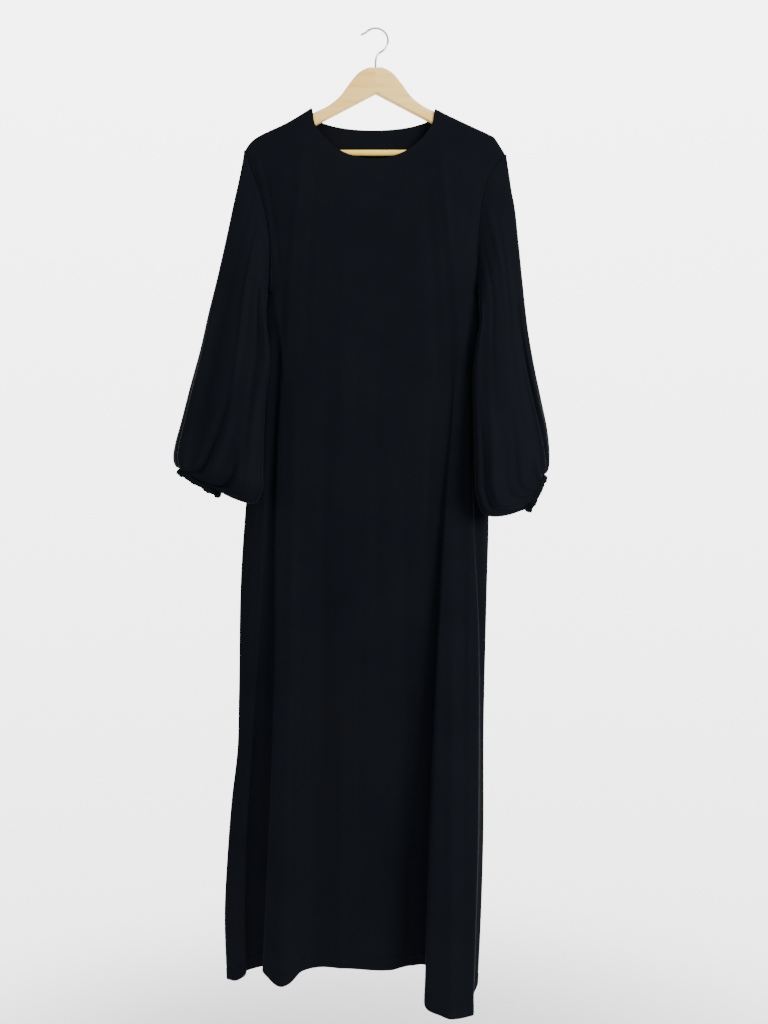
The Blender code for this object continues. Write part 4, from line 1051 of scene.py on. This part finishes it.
def table_rings(side, rows):
    """The rings as the tables give them, and the angle of every point of each.

    The first two are the armhole. A ring below it is its flat loop, plus the share it keeps of the armhole's
    difference from such a loop. Over the first rings the angles ease from the armhole's to even ones.
    """
    armhole, armhole_turn = armhole_ring(side)
    deep = np.full((1, 1), over_arm(1.0)[0])
    shape = armhole - flat_rings(armhole[:1], armhole[AROUND // 2][None], deep, armhole_turn[None])[0]
    even = eased(np.arange(len(rows["out_x"])) / EVEN_RING)[:, None]
    turn = armhole_turn * (1.0 - even) + np.arange(AROUND) * 2.0 * pi / AROUND * even
    outer = np.stack([rows["out_x"], rows["out_y"], -rows["out_down"]], axis=-1)
    inner = np.stack([rows["in_x"], rows["in_y"], -rows["in_down"]], axis=-1)
    rings = flat_rings(outer, inner, rows["half_depth"][:, None], turn)
    front = np.arange(AROUND) <= AROUND // 2
    kept = np.where(front, rows["front_shape"][:, None], rows["back_shape"][:, None])
    rings += shape * kept[..., None]
    start = np.stack([armhole, armhole + (SIDES[side][1] * ARMHOLE_STRIP, 0.0, 0.0)])
    return np.concatenate([start, rings]), np.concatenate([[armhole_turn, armhole_turn], turn])


def fine_stations(knots, spacing):
    """Places along the tube: every knot, and even steps of about the spacing between each two."""
    counts = np.maximum(np.ceil(np.diff(knots) / spacing), 1).astype(int)
    stretches = [np.linspace(a, b, n + 1)[:-1] for a, b, n in zip(knots[:-1], knots[1:], counts)]
    return np.concatenate([*stretches, knots[-1:]])


print("tube: helpers are ready")

# %% [markdown]
# ### Folds and gathers of a sleeve
#
# A sleeve's folds run from the armhole and die out before the cuff, and its gathers start at the cuff and die
# out upwards. So a fold is a line that wanders round the tube between two rings, and the gathers are three
# waves of different lengths round the ring, whose heights vary, so that no two puckers are alike.

# %% Tables of the sleeves' folds
# The line of a fold runs from turn0 at its first ring to turn1 at its last. They are places round the ring in
# degrees: 0 the outer edge, 90 the middle of the front, 180 the inner edge. "out" is how far the cloth stands
# out half-way along. The broad folds are in the CAD model too.
TURN_COLUMNS = "turn0 turn1 width first last out"
SLEEVE_CREASES = {
    "left": table(
        TURN_COLUMNS,
        (78.0, 78.0, 20.0, 3.0, 12.0, 0.005), (55.0, 55.0, 16.0, 6.0, 15.0, -0.006),
        (128.0, 128.0, 22.0, 5.0, 12.0, -0.003), (262.0, 262.0, 24.0, 4.0, 13.0, 0.005),
        (300.0, 300.0, 20.0, 6.0, 14.0, -0.005),
    ),
    "right": table(
        TURN_COLUMNS,
        (40.0, 40.0, 18.0, 6.0, 14.0, -0.0045), (92.0, 92.0, 30.0, 5.0, 13.0, 0.0045),
        (140.0, 140.0, 20.0, 4.0, 12.0, -0.0025), (255.0, 255.0, 24.0, 5.0, 13.0, -0.005),
        (290.0, 290.0, 20.0, 4.0, 13.0, 0.004),
    ),
}
FINE_CREASES = {
    "left": table(
        TURN_COLUMNS,
        (100.0, 92.0, 6.0, 1.5, 9.0, 0.0016), (66.0, 60.0, 5.0, 2.0, 8.0, -0.0014),
        (118.0, 130.0, 6.0, 3.0, 12.0, -0.0018), (84.0, 101.0, 4.4, 0.8, 11.6, 0.0042),
        (97.0, 56.0, 5.0, 9.2, 15.6, -0.0095), (109.0, 68.0, 5.5, 9.6, 15.6, 0.0045),
        (82.0, 44.0, 5.0, 10.5, 15.8, 0.003), (116.0, 98.0, 4.0, 11.5, 15.9, -0.0065),
        (124.0, 108.0, 4.5, 11.5, 15.8, 0.003), (140.0, 132.0, 7.0, 8.0, 14.5, 0.0022),
        (154.0, 150.0, 5.0, 9.0, 15.0, -0.002), (34.0, 30.0, 6.0, 7.0, 14.0, 0.002),
        (22.0, 26.0, 5.0, 9.0, 15.5, -0.0018), (205.0, 215.0, 7.0, 4.0, 12.0, -0.002),
        (235.0, 240.0, 6.0, 8.0, 15.5, 0.0024), (275.0, 266.0, 6.0, 9.5, 15.8, -0.0035),
        (312.0, 330.0, 7.0, 6.0, 14.5, 0.0022), (292.0, 300.0, 5.0, 11.0, 16.0, -0.0026),
    ),
    "right": table(
        TURN_COLUMNS,
        (76.0, 82.0, 6.0, 1.5, 8.0, 0.0015), (108.0, 112.0, 6.0, 2.0, 10.0, -0.0016),
        (60.0, 66.0, 7.0, 4.0, 13.0, 0.0018), (46.0, 14.0, 4.5, 7.0, 15.6, -0.0065),
        (56.0, 25.0, 5.0, 7.2, 15.4, 0.0034), (34.0, 6.0, 5.0, 8.0, 15.8, 0.0028),
        (90.0, 84.0, 5.0, 10.0, 15.8, -0.002), (124.0, 128.0, 7.0, 8.5, 15.0, 0.002),
        (148.0, 143.0, 6.0, 9.0, 15.5, -0.0018), (46.0, 38.0, 4.5, 11.5, 16.0, -0.0032),
        (55.0, 52.0, 4.0, 11.8, 16.0, 0.0018), (212.0, 208.0, 7.0, 5.0, 13.0, 0.002),
        (244.0, 250.0, 6.0, 7.5, 15.0, -0.0024), (278.0, 286.0, 6.0, 9.0, 15.8, 0.0026),
        (318.0, 310.0, 7.0, 6.0, 14.0, -0.002), (338.0, 344.0, 5.0, 10.5, 16.0, 0.0018),
    ),
}
GATHER_HEIGHT = 0.0022
GATHERS = 9
PUCKER_HEIGHT = 0.0008
PUCKERS_START = 10.5  # ring where the fine gathers start
PUCKERS_GROW = 5.0  # and over how many rings they grow


def sleeve_relief(side, rows, turn, ring):
    """How far the cloth stands out at each angle and ring: broad folds, narrow creases and gathers.

    A fold is a bell across its line, exp(-u^2) at u widths from it, and swells and fades along it as a sine.
    A narrow one is steeper on one side. The gathers are a coarse wave whose height follows the table, and two
    finer ones that grow towards the cuff.
    """
    degrees = np.degrees(turn)
    relief = np.zeros_like(turn)
    for creases, skew in ((SLEEVE_CREASES[side], 0.0), (FINE_CREASES[side], 0.4)):
        for turn0, turn1, width, first, last, out in zip(*creases.values()):
            span = np.clip((ring - first) / (last - first), 0.0, 1.0)
            line = turn0 + (turn1 - turn0) * span
            u = ((degrees - line + 180.0) % 360.0 - 180.0) / width
            relief += out * np.sin(pi * span) * (1.0 - skew * u) * np.exp(-u * u)
    amount = np.interp(ring - 2.0, np.arange(len(rows["gather"])), rows["gather"])
    relief += GATHER_HEIGHT * amount * np.cos(GATHERS * turn) * (0.75 + 0.25 * np.sin(3.0 * turn + 1.0))
    near = eased((ring - PUCKERS_START) / PUCKERS_GROW)
    uneven = 0.6 + 0.4 * np.sin(5.0 * turn + 0.7) * np.sin(2.0 * turn + 2.1)
    fine = np.cos(23.0 * turn + 1.5 * np.sin(3.0 * turn))
    finest = 0.5 * np.cos(37.0 * turn + 1.1 * np.sin(4.0 * turn))
    return relief + PUCKER_HEIGHT * near * uneven * (fine + finest)


print("narrow creases:", *(f"{len(rows['out'])} {side}" for side, rows in FINE_CREASES.items()))

# %% [markdown]
# ### The sleeves and their cuffs
#
# The cuff is a narrow casing with elastic in it, so it carries the gathers on from the sleeve, with a groove
# where it is stitched and a slightly rolled edge.

# %% Build the sleeves and cuffs
FOLDS_GROW = 0.03  # from the armhole to where the folds have their full height
SLEEVE_SEAM_WIDTH = 0.0020
CUFF_ROWS = 13
CUFF_SWELL = 0.0009
CUFF_GROOVE = (0.78, 0.06, 0.0004)  # its place and width as shares of the cuff, and its depth
CUFF_PUCKER = 0.0006
CUFF_PUCKERS = 29.0


def mouth_direction(ring):
    """The way out of the sleeve's mouth: square to its ring, downwards."""
    direction = np.cross([0.0, 1.0, 0.0], ring[0] - ring[AROUND // 2])
    return direction * -np.sign(direction[2]) / np.linalg.norm(direction)


def outward_normals(rings):
    """Unit normals of a tube, turned away from its middle line."""
    normals = surface_normals(rings, ring=True)
    away = rings - rings.mean(axis=1, keepdims=True)
    return normals * np.sign((normals * away).sum(axis=-1).mean())


def sleeve_grid(side, rows):
    """A sleeve's rings on a fine grid with its folds and dipped seam, and the way out of its mouth."""
    rings, turns = table_rings(side, rows)
    steps = np.linalg.norm(np.diff(rings, axis=0), axis=-1).mean(axis=1)
    knots = np.concatenate([[0.0], np.cumsum(steps)])
    at = fine_stations(knots, STEP)
    ring = np.interp(at, knots, np.arange(len(knots)))[:, None]
    points = read_curve(at, knots, rings)
    turn = read_curve(at, knots, turns)
    seam = at[:, None]
    relief = sleeve_relief(side, rows, turn, ring)
    dip = 2.0 * SEAM_DIP * np.exp(-((seam / SLEEVE_SEAM_WIDTH) ** 2))
    relief = relief * eased(seam / FOLDS_GROW) - dip
    points = points + outward_normals(points) * relief[..., None]
    way = mouth_direction(rings[-1])
    strip = points[-1] + way * np.array([0.0010, 0.0020, MOUTH_STRIP])[:, None, None]
    return np.concatenate([points, strip]), way


def cuff_grid(end_ring, way):
    """The casing goes on from the sleeve's last ring, with a groove near its rim and puckers all round."""
    share = np.linspace(0.0, 1.0, CUFF_ROWS)[:, None]
    turn = np.arange(AROUND) * 2.0 * pi / AROUND
    place, width, depth = CUFF_GROOVE
    points = end_ring + way * CUFF_WIDTH * share[..., None]
    swell = CUFF_SWELL * np.sin(pi * share) ** 0.6 - depth * np.exp(-(((share - place) / width) ** 2))
    pucker = CUFF_PUCKER * np.sin(pi * share) * np.cos(CUFF_PUCKERS * turn + 2.0 * np.sin(3.0 * turn))
    return points + outward_normals(points) * (swell + pucker)[..., None]


for side, rows in (("left", LEFT_SLEEVE), ("right", RIGHT_SLEEVE)):
    flip = side == "right"
    rings, way = sleeve_grid(side, rows)
    cloth_piece(f"sleeve_{side}", rings, True, flip)
    cloth_piece(f"cuff_{side}", cuff_grid(rings[-1], way), True, flip)
    print(f"{side} sleeve: {rings.shape[0]} rings of {rings.shape[1]}")

# %% [markdown]
# ## The hanger
#
# It is the usual wooden hanger: two shaped arms glued together at the centre, a round rod between them, and a
# bent wire hook. Each arm is a profile carried along X: a rectangle with rounded corners whose top and
# underside follow the picture. Its bores for the hook and the rod are cut with a Boolean, which is then
# applied so that the piece is plain mesh.

# %% The wooden arms
# Profile of a hanger arm, from the centre seam to the end.
ARM = table(
    "x top_down under_down",
    (0.00015, 0.067, 0.1124), (0.011, 0.067, 0.118), (0.016, 0.0685, 0.1206),
    (0.03, 0.077, 0.128), (0.046, 0.096, 0.1363), (0.0605, 0.1157, 0.144),
    (0.077, 0.13, 0.1525), (0.107, 0.1455, 0.1681), (0.135, 0.1588, 0.1827),
    (0.1577, 0.1693, 0.1945), (0.174, 0.1768, 0.205), (0.18, 0.1796, 0.2175),
    (0.19, 0.1842, 0.2215), (0.196, 0.188, 0.221), (0.2, 0.193, 0.216),
    (0.202, 0.199, 0.2095),
)
ARM_LENGTH = (0.00002, 0.1957)
ARM_TIP = (0.1963, 0.2020)  # the rounded end, in closer sections
ARM_THICKNESS = 0.012
ARM_CORNER = 0.0042
ROD_RADIUS = 0.005
ROD_DOWN = 0.2136
ROD_SHOULDER = 0.1715
TENON_RADIUS = 0.003
TENON_END = 0.192
WIRE_RADIUS = 0.0018
SHANK_BORE = 0.0021  # radius of the bore that the wire ends in
HOOK_RADIUS = 0.0215
SHANK_END_DOWN = 0.090
SHANK_BORE_TOP = 0.060  # how far down the bore's cutter starts, above the wood
SOCKET_START = 0.1635  # where the rod's bore starts
CLEARANCE = 0.0003  # round the tenon and past its end
CUTTER_SIDES = 32


def arm_sections(side, count):
    """Sections of an arm: four quarter circles of eight points each, joined by straight sides."""
    x = np.concatenate([np.linspace(*ARM_LENGTH, count), np.linspace(*ARM_TIP, 12)])
    top = read_table(ARM, "top_down", x, "x")[:, None]
    under = read_table(ARM, "under_down", x, "x")[:, None]
    corner = np.minimum(ARM_CORNER, (under - top) * 0.45)
    quarter = np.radians(np.linspace(0.0, 90.0, 8))
    turn = np.concatenate([quarter + k * pi / 2 for k in range(4)])
    sign_y = np.repeat([1.0, -1.0, -1.0, 1.0], 8)
    above = np.repeat([1.0, 1.0, 0.0, 0.0], 8)
    y = sign_y * (ARM_THICKNESS / 2 - corner) + corner * np.cos(turn)
    z = np.where(above > 0, -top - corner, -under + corner) + corner * np.sin(turn)
    return np.stack([np.broadcast_to(side * x[:, None], y.shape), y, z], axis=-1)


def cylinder(name, radius, start, end):
    """A round cutter between two points: two rings and their caps."""
    start, end = np.array(start), np.array(end)
    axis = (end - start) / np.linalg.norm(end - start)
    first = np.cross(axis, (0.0, 1.0, 0.0))
    second = np.cross(axis, first)
    turn = (np.arange(CUTTER_SIDES) * 2.0 * pi / CUTTER_SIDES)[:, None]
    ring = radius * (np.cos(turn) * first + np.sin(turn) * second)
    points = np.stack([start + ring, end + ring])
    caps = np.arange(2 * CUTTER_SIDES).reshape(2, -1)
    faces = grid_faces(2, CUTTER_SIDES, True, True).tolist() + [caps[0].tolist(), caps[1, ::-1].tolist()]
    return add_object(name, new_mesh(name, points, faces))


def closed_loft(name, sections, flip):
    """A mesh of sections, one after another, with a face over each end."""
    count, around = sections.shape[:2]
    faces = grid_faces(count, around, True, flip).tolist()
    start = list(range(around))
    end = list(range((count - 1) * around, count * around))
    faces += [start[::-1], end] if flip else [start, end[::-1]]
    return new_mesh(name, sections, faces)


def bored(mesh, cutters):
    """The mesh with every cutter taken away, as plain mesh."""
    body = add_object("body", mesh)
    for cutter in cutters:
        cut = body.modifiers.new("bore", "BOOLEAN")
        cut.operation = "DIFFERENCE"
        cut.object = cutter
    graph = bpy.context.evaluated_depsgraph_get()
    result = bpy.data.meshes.new_from_object(body.evaluated_get(graph))
    for piece in (body, *cutters):
        bpy.data.objects.remove(piece, do_unlink=True)
    return result


for side, (_, sign) in SIDES.items():
    shank_ends = [(0, 0, -down) for down in (SHANK_BORE_TOP, SHANK_END_DOWN + 0.0006)]
    shank = cylinder("shank_bore", SHANK_BORE, *shank_ends)
    socket_ends = [(sign * x, 0, -ROD_DOWN) for x in (SOCKET_START, TENON_END + CLEARANCE)]
    socket = cylinder("rod_socket", TENON_RADIUS + CLEARANCE, *socket_ends)
    mesh = bored(closed_loft("arm", arm_sections(sign, 90), sign < 0), (shank, socket))
    mesh.shade_smooth()
    mesh.set_sharp_from_angle(angle=pi / 5)
    piece = add_piece(f"hanger_arm_{side}", mesh, maple[side], f"hanger_half_{side}")
    print(piece.name, len(mesh.polygons), "faces")

# %% [markdown]
# ### Rod and hook
#
# Both are a circle carried along a path. The rod is turned, so its path is straight and the circle changes
# size. The hook is one wire: a flared tip, three quarters of a circle, an easy bend and a straight shank.

# %% The rod and the hook
def tube(path, radii, around):
    """Circles round a path in the XZ plane: radius x cos across the path, and radius x sin along Y."""
    along = np.gradient(path, axis=0)
    along = along / np.linalg.norm(along, axis=1, keepdims=True)
    across = np.stack([along[:, 1], -along[:, 0]], axis=-1)
    turn = np.arange(around) * 2.0 * pi / around
    side = radii[:, None] * np.cos(turn)
    x = path[:, :1] + across[:, :1] * side
    z = path[:, 1:] + across[:, 1:] * side
    return np.stack([x, radii[:, None] * np.sin(turn), z], axis=-1)


def bezier(p0, p1, p2, p3, count):
    """A cubic from p0 to p3, pulled towards p1 and p2.

    It is (1 - t)^3, 3t (1 - t)^2, 3t^2 (1 - t) and t^3 of the four points.
    """
    t = np.linspace(0.0, 1.0, count)[:, None]
    points = [np.array([p]) for p in (p0, p1, p2, p3)]
    weights = ((1 - t) ** 3, 3 * t * (1 - t) ** 2, 3 * t * t * (1 - t), t**3)
    return sum(w * p for w, p in zip(weights, points))


def hook_path():
    """The wire's middle line: flare, crook, bend and shank."""
    centre = np.array([0.0, WIRE_RADIUS - HOOK_RADIUS])
    angle = np.radians(np.linspace(135.0, -60.0, 66))
    crook = centre + HOOK_RADIUS * np.stack([np.cos(angle), np.sin(angle)], axis=-1)
    tip = np.array([-0.0250, -0.0098])
    flare = bezier(tip, tip + (0.004, 0.0022), crook[0] - (0.0022, 0.0022), crook[0], 12)
    along = np.array([np.sin(angle[-1]), -np.cos(angle[-1])])
    bend = bezier(crook[-1], crook[-1] + along * 0.010, (0.0, -0.050), (0.0, -0.062), 24)
    shank = np.stack([np.zeros(8), np.linspace(-0.0655, -SHANK_END_DOWN, 8)], axis=-1)
    return np.concatenate([flare[:-1], crook, bend[1:], shank])


def rounded_ends(path, radius):
    """The path with three steps before its start and one past its end, and radii that shrink there."""
    first = (path[1] - path[0]) / np.linalg.norm(path[1] - path[0])
    shrink = np.concatenate([[0.35, 0.75, 0.93], np.ones(len(path)), [0.9]])
    lead = path[0] - first * np.array([0.0004, 0.0003, 0.00015])[:, None]
    tail = path[-1] + (path[-1] - path[-2]) / np.linalg.norm(path[-1] - path[-2]) * 0.0002
    return np.concatenate([lead, path, tail[None]]), radius * shrink


wire, wire_radii = rounded_ends(hook_path(), WIRE_RADIUS)
hook_mesh = closed_loft("hook_wire", tube(wire, wire_radii, 24), False)
hook_mesh.shade_smooth()
add_piece("hook_wire", hook_mesh, steel, "hanger_hook")

# The rod's left end: a tenon, its shoulder and a broken edge.
rod_end = table(
    "x radius",
    (-TENON_END, TENON_RADIUS),
    (-ROD_SHOULDER - 0.0005, TENON_RADIUS),
    (-ROD_SHOULDER, ROD_RADIUS - 0.001),
    (-ROD_SHOULDER + 0.0004, ROD_RADIUS - 0.0003),
    (-ROD_SHOULDER + 0.001, ROD_RADIUS),
)
rod_x = np.concatenate([rod_end["x"], np.linspace(-0.160, 0.160, 33), -rod_end["x"][::-1]])
rod_radii = np.concatenate([rod_end["radius"], np.full(33, ROD_RADIUS), rod_end["radius"][::-1]])
rod_path = np.stack([rod_x, np.full_like(rod_x, -ROD_DOWN)], axis=-1)
rod_mesh = closed_loft("rod_turned", tube(rod_path, rod_radii, 40), False)
rod_mesh.shade_smooth()
rod_mesh.set_sharp_from_angle(angle=pi / 5)
add_piece("rod_turned", rod_mesh, rod_wood, "hanger_rod")
print("hook:", len(hook_mesh.polygons), "faces, rod:", len(rod_mesh.polygons), "faces")

# %% [markdown]
# ## The area of the panels
#
# The areas of the front and the back panel are measured on their grids here.

def sheet_area(points):
    """Area of a grid in square metres: half the cross product of each cell's diagonals."""
    first = points[1:, 1:] - points[:-1, :-1]
    second = points[1:, :-1] - points[:-1, 1:]
    return 0.5 * np.linalg.norm(np.cross(first, second), axis=-1).sum()


print(f"front {sheet_area(front_points):.3f} m2, back {sheet_area(back_points):.3f} m2")

# %% [markdown]
# ## Floor and light
#
# The stage is a plain pale floor that is well below the hem, and a soft studio: a large key light from the
# right front, a weaker one from the left, and a pale world that fills the rest. Black cloth needs the key
# from the side, or its folds don't show.

# %% Stage
def floor_finish():
    """Pale matte paint that thins out to nothing towards the floor's rim, so that no edge shows."""
    finish = new_material("pale_floor", Base_Color=(0.80, 0.79, 0.79, 1.0), Roughness=0.7)
    away = add_node(finish, "ShaderNodeVectorMath", operation="LENGTH")
    link(finish, object_pattern(finish, (1.0, 1.0, 0.0)), away.inputs[0])
    kept = map_range(finish, away.outputs["Value"], (0.35, 1.45, 1.0, 0.0), "SMOOTHSTEP")
    shader_input(finish, "Alpha", kept)
    return finish


def add_floor(down, radius):
    """A round pale floor under the garment."""
    turn = (np.arange(96) * 2.0 * pi / 96)[:, None]
    ring = np.concatenate([np.cos(turn), np.sin(turn), np.zeros_like(turn)], axis=1) * radius
    mesh = new_mesh("floor", ring - (0.0, 0.0, down), [list(range(96))])
    mesh.materials.append(floor_finish())
    add_object("floor", mesh)


def add_light(name, place, target, size, power, colour=(1.0, 1.0, 1.0)):
    """A square area light that faces its target: tilted by its slope, and turned by its heading."""
    data = bpy.data.lights.new(name, "AREA")
    data.shape = "SQUARE"
    data.size = size
    data.energy = power
    data.color = colour
    light = add_object(name, data)
    x, y, z = np.array(target) - np.array(place)
    light.location = place
    light.rotation_euler = (pi / 2 + np.arctan2(z, np.hypot(x, y)), 0.0, np.arctan2(y, x) - pi / 2)


def pale_world(behind, around):
    """A pale room: a bright wall in the direction +Y, which darkens a little downwards, and dimmer all round.

    Its strength is around + (behind - around) x wall x height.
    """
    world = bpy.data.worlds.new("studio")
    world.use_nodes = True
    bpy.context.scene.world = world
    direction = add_node(world, "ShaderNodeTexCoord")
    parts = add_node(world, "ShaderNodeSeparateXYZ")
    link(world, direction.outputs["Generated"], parts.inputs["Vector"])
    both = add_node(world, "ShaderNodeMath", operation="MULTIPLY")
    wall = map_range(world, parts.outputs["Y"], (0.35, 0.85, 0.0, 1.0), "SMOOTHSTEP")
    link(world, wall, both.inputs[0])
    link(world, map_range(world, parts.outputs["Z"], (-0.45, 0.35, 0.55, 1.0)), both.inputs[1])
    strength = add_node(world, "ShaderNodeMath", {1: behind - around, 2: around}, operation="MULTIPLY_ADD")
    link(world, both.outputs["Value"], strength.inputs[0])
    background = world.node_tree.nodes["Background"]
    link(world, strength.outputs["Value"], background.inputs["Strength"])
    background.inputs["Color"].default_value = (0.96, 0.96, 0.97, 1.0)


add_floor(1.95, 1.5)
add_light("key", (1.9, -1.9, -0.2), (0.0, 0.0, -0.7), 1.2, 85.0, (1.0, 0.99, 0.97))
add_light("fill", (-2.2, -1.6, -0.4), (0.0, 0.0, -0.9), 1.6, 12.0, (0.95, 0.97, 1.0))
add_light("top", (0.3, -0.8, 1.6), (0.0, 0.0, -0.6), 1.4, 22.0)
pale_world(6.0, 0.85)
print("stage is ready")
